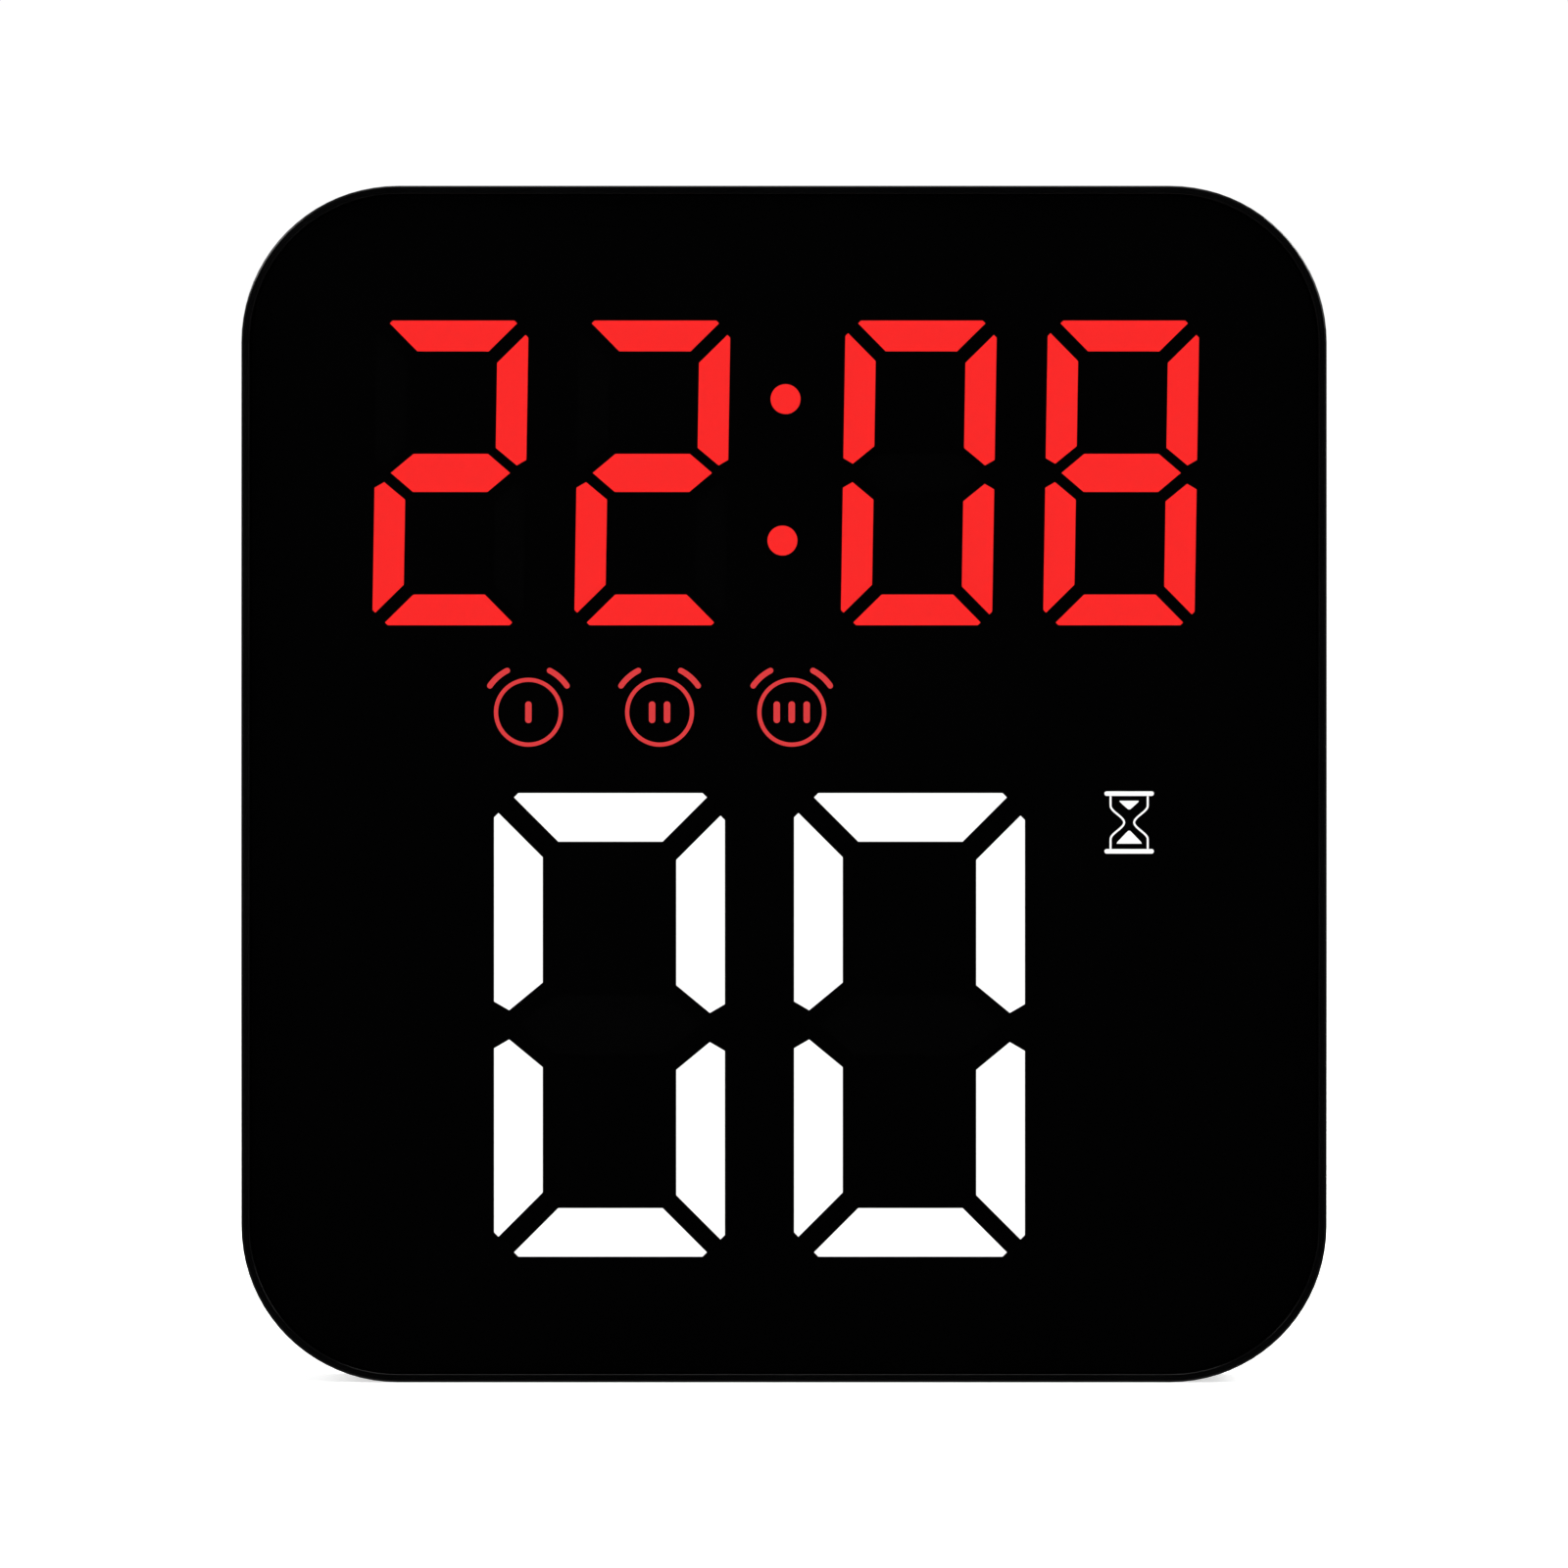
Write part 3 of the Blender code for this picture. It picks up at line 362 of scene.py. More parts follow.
def corner_arc(centre, radius, start, end, steps=5):
    """Points of an arc in a profile, in degrees."""
    turns = (math.radians(start + (end - start) * step / steps) for step in range(steps + 1))
    return [(centre[0] + radius * math.cos(t), centre[1] + radius * math.sin(t)) for t in turns]


def pocket(area, radius, floor):
    """A cutter for a rounded recess with a filleted floor edge and a chamfered mouth."""
    def ring(grow, y):
        return rounded(*grown(area, grow), radius + grow), y
    return loft([ring(-FILLET, floor), ring(-0.3 * FILLET, floor + 0.3 * FILLET), ring(0, floor + FILLET),
                 ring(0, REAR - MOUTH), ring(MOUTH, REAR), ring(MOUTH, REAR + 1)])


def round_hole(x, z, radius, floor, top=REAR, edge=MOUTH, sides=48):
    """A cutter for a round hole or recess with a chamfered mouth."""
    profile = [(radius, floor), (radius, top - edge), (radius + edge, top), (radius + edge, top + 1)]
    return turned(profile, (x, 0, z), sides=sides)


# ---------------------------------------------------------------- objects


def make_object(name, mesh):
    mesh.transform(Matrix.Scale(MM, 4))
    data = bpy.data.meshes.new(name)
    mesh.to_mesh(data)
    mesh.free()
    made = bpy.data.objects.new(name, data)
    bpy.context.scene.collection.objects.link(made)
    return made


def combine(target, meshes, operation):
    """Applies a Boolean with each mesh in turn, and leaves no helper behind."""
    helpers = [make_object("helper", mesh) for mesh in meshes]
    for helper in helpers:
        modifier = target.modifiers.new("combine", "BOOLEAN")
        modifier.operation = operation
        modifier.solver = "EXACT"
        modifier.object = helper
    bpy.context.view_layer.update()
    graph = bpy.context.evaluated_depsgraph_get()
    result = bpy.data.meshes.new_from_object(target.evaluated_get(graph))
    target.modifiers.clear()
    target.data = result
    for helper in helpers:
        bpy.data.objects.remove(helper, do_unlink=True)
    return target


def add(target, *meshes):
    return combine(target, meshes, "UNION")


def cut(target, *meshes):
    return combine(target, meshes, "DIFFERENCE")


def piece(target, look, body="housing", replaces=(), smooth=True):
    """Finishes a visible piece: its material, shading, body, slot and the CAD nodes that it stands for."""
    target.data.materials.clear()
    target.data.materials.append(looks[look])
    if smooth:
        target.data.shade_smooth()
        target.data.set_sharp_from_angle(angle=math.radians(30.0))
        weighted = target.modifiers.new("even_flats", "WEIGHTED_NORMAL")
        weighted.keep_sharp = True
    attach(target, body)
    if replaces:
        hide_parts(*replaces)
    return target


# ---------------------------------------------------------------- materials
# The helpers take and give sockets, and work in the node tree that their first socket belongs to.

ACRYLIC_IOR = 1.49
MIRRORED = 0.0387
FACE_CLARITY = 0.80


def new_material(name):
    """An empty material: itself, its nodes and links, and where its surface shader goes."""
    made = bpy.data.materials.new(name)
    made.use_nodes = True
    nodes = made.node_tree.nodes
    nodes.clear()
    return made, nodes, made.node_tree.links, nodes.new("ShaderNodeOutputMaterial").inputs["Surface"]


def principled(name):
    """A material with one Principled shader: itself, its links, the shader, object coordinates."""
    made, nodes, links, surface_socket = new_material(name)
    shader = nodes.new("ShaderNodeBsdfPrincipled")
    links.new(shader.outputs["BSDF"], surface_socket)
    return made, links, shader, nodes.new("ShaderNodeTexCoord").outputs["Object"]


def noise(place, scale, detail=3.0, roughness=0.5):
    tree = place.id_data
    made = tree.nodes.new("ShaderNodeTexNoise")
    made.inputs["Scale"].default_value = scale
    made.inputs["Detail"].default_value = detail
    made.inputs["Roughness"].default_value = roughness
    tree.links.new(place, made.inputs["Vector"])
    return made.outputs["Fac"]


def spread(value, low, high, to_low=0.0, to_high=1.0):
    """Maps a value from low..high to to_low..to_high."""
    tree = value.id_data
    made = tree.nodes.new("ShaderNodeMapRange")
    made.inputs["From Min"].default_value = low
    made.inputs["From Max"].default_value = high
    made.inputs["To Min"].default_value = to_low
    made.inputs["To Max"].default_value = to_high
    tree.links.new(value, made.inputs["Value"])
    return made.outputs["Result"]


def ramp(value, low, high, low_colour, high_colour):
    """Maps a value from low..high to two colours."""
    tree = value.id_data
    mix = tree.nodes.new("ShaderNodeMix")
    mix.data_type = "RGBA"
    mix.inputs["A"].default_value = (*low_colour, 1.0)
    mix.inputs["B"].default_value = (*high_colour, 1.0)
    tree.links.new(spread(value, low, high), mix.inputs["Factor"])
    return mix.outputs["Result"]


def bump(height, strength, distance, before=None):
    tree = height.id_data
    made = tree.nodes.new("ShaderNodeBump")
    made.inputs["Strength"].default_value = strength
    made.inputs["Distance"].default_value = distance
    tree.links.new(height, made.inputs["Height"])
    if before is not None:
        tree.links.new(before, made.inputs["Normal"])
    return made.outputs["Normal"]


def mix_shaders(share, first, second):
    """The first shader where share is 0, the second where it is 1."""
    tree = share.id_data
    made = tree.nodes.new("ShaderNodeMixShader")
    tree.links.new(share, made.inputs["Fac"])
    tree.links.new(first, made.inputs[1])
    tree.links.new(second, made.inputs[2])
    return made.outputs["Shader"]


def surface(name, dark, light, roughness, grain, metallic=0.0, specular=0.5):
    """A moulded or metal surface: two close colours in patches, uneven roughness, and a fine grain.
    grain gives (cells per metre, bump strength, bump distance in metres)."""
    patch_scale, blotch_scale = 40.0, 240.0
    made, links, shader, place = principled(name)
    shader.inputs["Metallic"].default_value = metallic
    shader.inputs["Specular IOR Level"].default_value = specular
    patches = noise(place, patch_scale, 5.0, 0.6)
    links.new(ramp(patches, 0.35, 0.65, dark, light), shader.inputs["Base Color"])
    fine = noise(place, grain[0], 2.0, 0.6)
    blotch = noise(place, blotch_scale, 4.0, 0.6)
    links.new(spread(blotch, 0.3, 0.7, *roughness), shader.inputs["Roughness"])
    links.new(bump(fine, grain[1], grain[2]), shader.inputs["Normal"])
    return made


def textured_plastic(name, colour):
    """Spark-eroded ABS: a pebbled grain of two sizes, in two close greys."""
    made, links, shader, place = principled(name)
    pebble = made.node_tree.nodes.new("ShaderNodeTexVoronoi")
    pebble.feature = "SMOOTH_F1"
    pebble.inputs["Scale"].default_value = 1250.0
    links.new(place, pebble.inputs["Vector"])
    fine = noise(place, 3500.0, 2.0, 0.6)
    broad = noise(place, 30.0, 5.0, 0.6)
    light = tuple(1.25 * channel for channel in colour)
    links.new(ramp(broad, 0.35, 0.7, colour, light), shader.inputs["Base Color"])
    wear = noise(place, 260.0, 5.0, 0.65)
    links.new(spread(wear, 0.3, 0.7, 0.46, 0.60), shader.inputs["Roughness"])
    coarse = bump(pebble.outputs["Distance"], 0.85, 0.00022)
    links.new(bump(fine, 0.4, 0.00006, coarse), shader.inputs["Normal"])
    return made


def smoked_acrylic():
    """A tinted pane: what is behind shows through, and the side that a ray enters by mirrors a little.
    The other side doesn't, because rays go straight through here and would be mirrored whole at a slant."""
    made, nodes, links, surface_socket = new_material("smoked_acrylic")
    place = nodes.new("ShaderNodeTexCoord").outputs["Object"]
    clear = nodes.new("ShaderNodeBsdfTransparent")
    clear.inputs["Color"].default_value = (FACE_CLARITY, FACE_CLARITY, FACE_CLARITY, 1.0)
    gloss = nodes.new("ShaderNodeBsdfPrincipled")
    gloss.inputs["Base Color"].default_value = (0.0015, 0.0015, 0.0018, 1.0)
    gloss.inputs["IOR"].default_value = ACRYLIC_IOR
    smear = noise(place, 45.0, 6.0, 0.7)
    links.new(spread(smear, 0.35, 0.75, 0.03, 0.10), gloss.inputs["Roughness"])
    ripple = noise(place, 25.0, 1.0, 0.5)
    links.new(bump(ripple, 0.03, 0.0004), gloss.inputs["Normal"])
    fresnel = nodes.new("ShaderNodeFresnel")
    fresnel.inputs["IOR"].default_value = ACRYLIC_IOR
    inside = nodes.new("ShaderNodeNewGeometry").outputs["Backfacing"]
    outer = mix_shaders(fresnel.outputs["Fac"], clear.outputs["BSDF"], gloss.outputs["BSDF"])
    links.new(mix_shaders(inside, outer, clear.outputs["BSDF"]), surface_socket)
    return made


def lit(name, colour, strength):
    """A window of the film with the diodes lit behind it."""
    made, links, shader, place = principled(name)
    shader.inputs["Base Color"].default_value = (0.01, 0.01, 0.01, 1.0)
    shader.inputs["Specular IOR Level"].default_value = 0.1
    shader.inputs["Roughness"].default_value = 0.6
    shader.inputs["Emission Color"].default_value = (*colour, 1.0)
    shader.inputs["Emission Strength"].default_value = strength
    links.new(bump(noise(place, 2500.0, 1.0, 0.5), 0.1, 0.00003), shader.inputs["Normal"])
    return made


def circuit_board():
    """Green solder mask over bundles of fine tracks that run across in some areas and upright in others."""
    made, links, shader, place = principled("circuit_board")
    nodes = made.node_tree.nodes
    lines = []
    for direction in ("X", "Z"):
        wave = nodes.new("ShaderNodeTexWave")
        wave.bands_direction = direction
        wave.inputs["Scale"].default_value = 170.0
        links.new(place, wave.inputs["Vector"])
        lines.append(spread(wave.outputs["Fac"], 0.80, 0.90))
    choice = nodes.new("ShaderNodeMix")
    links.new(spread(noise(place, 45.0, 1.0), 0.49, 0.51), choice.inputs["Factor"])
    links.new(lines[0], choice.inputs["A"])
    links.new(lines[1], choice.inputs["B"])
    kept = nodes.new("ShaderNodeMath")
    kept.operation = "MULTIPLY"
    links.new(choice.outputs["Result"], kept.inputs[0])
    links.new(spread(noise(place, 90.0, 1.0), 0.47, 0.50), kept.inputs[1])
    tracks = kept.outputs["Value"]
    green = ramp(tracks, 0.0, 1.0, (0.008, 0.070, 0.028), (0.020, 0.150, 0.060))
    links.new(green, shader.inputs["Base Color"])
    links.new(bump(tracks, 0.3, 0.00004), shader.inputs["Normal"])
    shader.inputs["Roughness"].default_value = 0.32
    shader.inputs["Coat Weight"].default_value = 0.4
    return made


def grey(level):
    return (level, level, level)


SURFACES = {
    "black_gloss": dict(
        dark=(0.0008, 0.0008, 0.0009), light=(0.0014, 0.0014, 0.0015), roughness=(0.14, 0.22),
        grain=(1500.0, 0.03, 0.00003), specular=0.4),
    "black_film": dict(
        dark=grey(0.0004), light=grey(0.0007), roughness=(0.5, 0.6),
        grain=(2500.0, 0.05, 0.00003), specular=0.04),
    "foam_tape": dict(
        dark=grey(0.010), light=grey(0.020), roughness=(0.85, 0.95),
        grain=(3000.0, 0.5, 0.0001)),
    "red_filter": dict(
        dark=(0.60, 0.010, 0.008), light=(0.70, 0.014, 0.010), roughness=(0.35, 0.5),
        grain=(2500.0, 0.1, 0.00003)),
    "white_filter": dict(
        dark=(0.85, 0.85, 0.84), light=grey(0.9), roughness=(0.35, 0.5),
        grain=(2500.0, 0.1, 0.00003)),
    "white_reflector": dict(
        dark=(0.78, 0.78, 0.76), light=(0.84, 0.84, 0.82), roughness=(0.35, 0.5),
        grain=(1500.0, 0.1, 0.00005)),
    "chip_black": dict(
        dark=(0.018, 0.018, 0.019), light=(0.028, 0.028, 0.030), roughness=(0.45, 0.6),
        grain=(4000.0, 0.3, 0.00004)),
    "tinned_steel": dict(
        dark=(0.60, 0.60, 0.58), light=(0.70, 0.70, 0.68), roughness=(0.22, 0.38),
        grain=(2500.0, 0.15, 0.00003), metallic=1.0),
    "zinc_steel": dict(
        dark=(0.42, 0.42, 0.43), light=(0.55, 0.55, 0.57), roughness=(0.25, 0.42),
        grain=(2500.0, 0.2, 0.00004), metallic=1.0),
    "key_rubber": dict(
        dark=(0.055, 0.055, 0.058), light=(0.070, 0.070, 0.074), roughness=(0.50, 0.62),
        grain=(3200.0, 0.35, 0.00005)),
    "rubber": dict(
        dark=grey(0.012), light=grey(0.020), roughness=(0.75, 0.9),
        grain=(2200.0, 0.5, 0.0001)),
    "wire_grey": dict(
        dark=(0.28, 0.28, 0.29), light=(0.36, 0.36, 0.37), roughness=(0.4, 0.55),
        grain=(2000.0, 0.2, 0.00005)),
    "label_silver": dict(
        dark=(0.40, 0.40, 0.41), light=(0.46, 0.46, 0.47), roughness=(0.35, 0.45),
        grain=(2500.0, 0.12, 0.00003), metallic=0.3),
    "print_white": dict(
        dark=grey(0.62), light=grey(0.70), roughness=(0.5, 0.6),
        grain=(2500.0, 0.2, 0.00003)),
    "unlit_window": dict(
        dark=grey(0.0008), light=grey(0.0013), roughness=(0.45, 0.55),
        grain=(2500.0, 0.1, 0.00003), specular=0.08),
}

# The pane takes FACE_CLARITY at its front and again at its back, and mirrors a little head on. The lit
# shapes are brighter by as much, so that these are the colours in front of the pane.
LIT_STRENGTH = 1.0 / (FACE_CLARITY ** 2 * (1.0 - MIRRORED))

looks = {name: surface(name, **values) for name, values in SURFACES.items()}
looks["smoked_acrylic"] = smoked_acrylic()
looks["black_case"] = textured_plastic("black_case", (0.0085, 0.0085, 0.0092))
looks["circuit_board"] = circuit_board()
looks["lit_red"] = lit("lit_red", (0.955, 0.0185, 0.0178), LIT_STRENGTH)
looks["lit_icon"] = lit("lit_icon", (0.69, 0.043, 0.046), LIT_STRENGTH)
looks["lit_white"] = lit("lit_white", (1.0, 1.0, 1.0), 1.05 * LIT_STRENGTH)


def dress_cad_nodes():
    """Gives every CAD node the full material of its slot. Detailed pieces then replace most in view."""
    for part in frame["record"]["subparts"]:
        node = frame["nodes"][part["node"]]
        node.data.materials.clear()
        node.data.materials.append(looks[part["material_slot"]])


# ---------------------------------------------------------------- display

def display():
    """The lit shapes as thin bodies on the front of the film, and the unlit bars as thinner dark ones."""
    low, high = FILM_FRONT - LIT_THICKNESS, FILM_FRONT
    clock, seconds, unlit = [], [], []
    for x, digit in CLOCK_DIGITS:
        for index, bar in enumerate(digit_segments(x, CLOCK_Z, CLOCK_SIZE, CLOCK_STROKE, CLOCK_SLANT)):
            (clock if index in LIT_BARS[digit] else unlit).append(bar)
    for x, digit in SECONDS_DIGITS:
        for index, bar in enumerate(digit_segments(x, SECONDS_Z, SECONDS_SIZE, SECONDS_STROKE)):
            (seconds if index in LIT_BARS[digit] else unlit).append(bar)
    colon = [circle(x, z, COLON_RADIUS) for x, z in COLON_DOTS]
    windows = (
        ("lit_clock_digits", clock, low, "lit_red"),
        ("lit_colon", colon, low, "lit_red"),
        ("lit_seconds_digits", seconds, low, "lit_white"),
        ("unlit_windows", unlit, high - UNLIT_THICKNESS, "unlit_window"),
    )
    for name, outlines, start, look in windows:
        piece(make_object(name, prisms(outlines, start, high)), look, smooth=False)
    for number, (x, bars) in enumerate(ALARM_ICONS, 1):
        alarm_icon(f"lit_alarm_icon_{number}", x, ALARM_Z, bars, low, high)
    hourglass_icon(*HOURGLASS, low, high)


def alarm_icon(name, x, z, bars, low, high):
    """A ring with one to three upright bars, and a bell arc on either side above it."""
    radius, stroke = 6.28, 0.80
    bar_pitch, bar_half, bar_reach = 2.9, 0.62, 2.1
    bell_radius, bell_stroke = 9.05, 1.10
    outlines = []
    for bar in range(bars):
        bar_x = x + bar_pitch * (bar - (bars - 1) / 2)
        outlines.append(rounded(bar_x - bar_half, bar_x + bar_half, z - bar_reach, z + bar_reach, 0.60))
    for side in (-1, 1):
        start, end = math.radians(90 - side * 27.0), math.radians(90 - side * 55.5)
        outlines.append(band(arc(x, z, bell_radius, start, end, 10), bell_stroke))
    outer, inner = circle(x, z, radius + stroke / 2, 64), circle(x, z, radius - stroke / 2, 64)
    mesh = joined(ring_prism(outer, inner, low, high), prisms(outlines, low, high))
    piece(make_object(name, mesh), "lit_icon", smooth=False)


def hourglass_icon(x, z, low, high):
    """Two end bars, a waisted glass, and sand in both halves."""
    bar_half, bar_z, bar_thickness = 4.78, 5.59, 0.88
    glass_top, shoulder, waist_half, bulge, glass_stroke = 5.1, 3.2, 0.95, 2.65, 0.37
    upper_sand, lower_sand = (4.2, 2.35, 1.87), (-4.1, -1.4, 2.42)
    outlines = []
    for side in (-1, 1):
        middle = z + side * bar_z
        outlines.append(rounded(x - bar_half, x + bar_half, middle - bar_thickness / 2,
                                middle + bar_thickness / 2, 0.42))
    for side in (-1, 1):
        path = []
        for step in range(25):
            height = glass_top - 2 * glass_top * step / 24
            share = min(1.0, abs(height) / shoulder)
            ease = share * share * (3 - 2 * share)
            path.append((x + side * (waist_half + bulge * ease), z + height))
        outlines.append(band(path, glass_stroke, round_ends=False))
    for base, tip, half in (upper_sand, lower_sand):
        slope = (tip - base) / half
        outlines.append([
            (x - half, z + base), (x + half, z + base),
            (x + half - 0.15, z + base + 0.3 * slope), (x + 0.2, z + tip - 0.2 * slope),
            (x - 0.2, z + tip - 0.2 * slope), (x - half + 0.15, z + base + 0.3 * slope),
        ])
    piece(make_object("lit_hourglass_icon", prisms(outlines, low, high)), "lit_white", smooth=False)


# ---------------------------------------------------------------- front

def front_shell():
    """The case round the pane, as sections of (inset, y): outside, soft front edge, rim, ledge, inside."""
    edge = [(FRONT_EDGE - x, FRONT + FRONT_EDGE - y) for x, y in corner_arc((0, 0), FRONT_EDGE, 0, 90)]
    inner = [(RIM - RIM_FILLET + RIM_FILLET * math.sin(t), FRONT + RIM_FILLET - RIM_FILLET * math.cos(t))
             for t in (math.radians(30 * step) for step in range(4))]
    sections = [(SEAM_BREAK, PARTING), (0.0, PARTING - SEAM_BREAK)] + edge + inner
    sections += [(RIM, LEDGE_FRONT), (LEDGE_INSET, LEDGE_FRONT), (LEDGE_INSET, LEDGE_BACK),
                 (WALL, LEDGE_BACK), (WALL, PARTING)]
    shell = make_object("front_shell", loft([(case_outline(inset), y) for inset, y in sections], loop=True))
    piece(shell, "black_gloss", replaces=["front_case"])


def lens():
    """The pane with its polished front edge, and a black border printed behind it that hides the ledge."""
    inset, edge, back_break = LENS_LOW.x - CASE_LOW.x, 0.4, 0.1
    rings = [(case_outline(inset + edge - edge * math.sin(t)), LENS_LOW.y + edge - edge * math.cos(t))
             for t in (math.radians(22.5 * step) for step in range(5))]
    back = case_outline(inset + back_break)
    rings += [(case_outline(inset), LENS_HIGH.y - back_break), (back, LENS_HIGH.y)]
    piece(make_object("smoked_lens", loft(rings)), "smoked_acrylic", replaces=["front_lens"])
    border = ring_prism(back, case_outline(LEDGE_INSET + 1.5), LENS_HIGH.y + 0.02, LENS_HIGH.y + 0.08)
    piece(make_object("lens_border_print", border), "black_film", smooth=False)


# ---------------------------------------------------------------- rear cover

def screw_places():
    return [node_centre(f"case_screw_{number}") for number in range(1, 5)]


def cover_skin():
    """The shell of the cover without its openings, as sections of (inset, y) from the back face inwards."""
    back = [(BACK_EDGE - BACK_EDGE * math.cos(t), REAR - BACK_EDGE + BACK_EDGE * math.sin(t))
            for t in (math.radians(15 * step) for step in range(7))]
    rim = PARTING + GAP
    lip, lip_thick, lip_front, inside = 2.9, 1.3, COVER_LOW.y + 0.2, 2.4
    sections = back[::-1] + [(0.0, rim + SEAM_BREAK), (SEAM_BREAK, rim), (lip, rim), (lip, lip_front)]
    sections += [(lip + lip_thick, lip_front), (lip + lip_thick, PARTING + 2.0), (inside, PARTING + 3.2),
                 (inside, REAR - SKIN)]
    return loft([(case_outline(inset), y) for inset, y in sections])


def walls_round(area, front, root):
    """A block that is larger than a recess by the thickness of its walls."""
    low_x, high_x, low_z, high_z = grown(area, RECESS_WALL)
    return box((low_x, front, low_z), (high_x, root, high_z))


def cover_walls():
    """Posts and the walls of the recesses on the inside, each sunk into the skin by a little."""
    root = REAR - SKIN + 0.8
    stand_half = node_box("stand_leg")[1].x + 2.8
    trough_half = node_box("stand_pin")[1].x + 2.0
    trough_top = HINGE.z + 5.8
    inside_stand_walls = 20.0
    cell = node_centre("coin_cell")
    left, right, bottom, top = grown(POCKET, RECESS_WALL)
    notch_left, notch_right = (left + right) / 2 - 5.0, (left + right) / 2 + 5.0
    notch_bottom = 1.3
    inlet_walls = [
        (right, top), (left, top), (left, bottom), (notch_left, bottom), (notch_left, notch_bottom),
        (notch_right, notch_bottom), (notch_right, bottom), (right, bottom)]
    posts = [cylinder(POST_RADIUS, COVER_LOW.y, root, (place.x, 0, place.z)) for place in screw_places()]
    return posts + [
        box((-stand_half, STAND_FLOOR - SKIN, 1.2), (stand_half, root, trough_top)),
        box((-trough_half, 4.9, TROUGH_LOW - 1.5), (trough_half, root, trough_top)),
        walls_round((inside_stand_walls + RECESS_WALL, *SCOOP[1:]), STAND_FLOOR - SKIN, root),
        prism(inlet_walls, POCKET_FLOOR - 1.8, root),
        cylinder(15.2, 5.0, root, (cell.x, 0, cell.z), sides=48),
        walls_round(KEY_RECESS, KEY_FLOOR - 2.2, root),
    ]


def cover_recesses():
    stand_half = node_box("stand_leg")[1].x + 0.6
    stand_top = HINGE.z + 3.6
    below_case = -8.0
    pin = node_box("stand_pin")
    cell = node_centre("coin_cell")
    hatch_radius = node_box("battery_cover")[1].x - cell.x
    socket_low, socket_high = node_box("usb_c_socket")
    socket_x = (socket_low.x + socket_high.x) / 2
    notch = rounded(socket_x - 3.5, socket_x + 3.5, below_case, POCKET[2] + 1, 0.5, 2)
    return [
        pocket((-stand_half, stand_half, below_case, stand_top), 1.0, STAND_FLOOR),
        box((-stand_half, HINGE.y - 3.4, TROUGH_LOW), (stand_half, STAND_FLOOR + 0.5, stand_top)),
        cylinder(BORE_RADIUS, pin[0].x - GAP, pin[1].x + GAP, (0, HINGE.y, HINGE.z), "X"),
        pocket(SCOOP, 5.0, STAND_FLOOR),
        pocket(POCKET, 2.0, POCKET_FLOOR),
        box((socket_low.x - GAP, socket_low.y - GAP, POCKET[3] - 1),
            (socket_high.x + GAP, socket_high.y + GAP, POCKET[3] + 3)),
        prism(notch, REAR - 6.0, REAR + 1),
        round_hole(cell.x, cell.z, hatch_radius + GAP, HATCH_FLOOR, sides=64),
        cylinder(11.3, CELL_WELL_FLOOR, REAR, (cell.x, 0, cell.z), sides=64),
        pocket(KEY_RECESS, 4.0, KEY_FLOOR),
    ]


def cover_holes():
    """Key holes, the slider's slot, keyholes, vents, sound holes and screw bores, most with broken edges."""
    inside = REAR - SKIN - 1
    cuts = []
    for name in KEY_NAMES:
        centre = node_centre("button_" + name)
        cuts.append(round_hole(centre.x, centre.z, KEY_HOLE_RADIUS, KEY_FLOOR - 4, KEY_FLOOR, 0.2))
    knob = node_centre("slide_switch_knob")
    slot_x, half_x, half_z = knob.x + SWITCH_TRAVEL / 2, SWITCH_SLOT[0] / 2, SWITCH_SLOT[1] / 2
    slot = rounded(slot_x - half_x, slot_x + half_x, knob.z - half_z, knob.z + half_z, 0.8, 4)
    cuts.append(prism(slot, KEY_FLOOR - 4, KEY_FLOOR + 1))
    for x, z in KEYHOLES:
        hole, mouth = keyhole(x, z), keyhole(x, z, MOUTH)
        cuts.append(loft([(hole, inside), (hole, REAR - MOUTH), (mouth, REAR), (mouth, REAR + 1)]))
    cuts += [vent(x, inside) for x in VENTS]
    buzzer = node_centre("buzzer")
    for ring, count in SOUND_HOLE_RINGS:
        cuts += [round_hole(x, z, 1.0, inside, REAR, 0.3, sides=20)
                 for x, z in polygon(buzzer.x, buzzer.z, ring, count)]
    for place in screw_places():
        cuts.append(cylinder(BORE_RADIUS, COVER_LOW.y - 1, SCREW_SEAT + 1, (place.x, 0, place.z), sides=24))
        cuts.append(round_hole(place.x, place.z, 3.1, SCREW_SEAT, sides=32))
    return cuts


def vent(x, inside):
    half, edge = 1.0, 0.3

    def ring(grow, y):
        return rounded(*grown((x - half, x + half, VENT_LOW, VENT_HIGH), grow), 0.95 + grow, 5), y
    return loft([ring(0, inside), ring(0, REAR - edge), ring(edge, REAR), ring(edge, REAR + 1)])


def rear_shell():
    shell = add(make_object("rear_shell", cover_skin()), *cover_walls())
    cut(shell, *cover_recesses())
    cut(shell, *cover_holes())
    low, high = node_box("rating_label")
    sunk = rounded(*grown((low.x, high.x, low.z, high.z), 0.5), 1.8)
    cuts = [prism(sunk, REAR - 0.8, REAR + 1)]
    for side in ("left", "right"):
        low, high = node_box("foot_pad_" + side)
        cuts.append(box((low.x - GAP, low.y - GAP, -1), (high.x + GAP, high.y + GAP, high.z + GAP)))
    cut(shell, *cuts)
    piece(shell, "black_case", replaces=["rear_cover"])


# ---------------------------------------------------------------- rear details

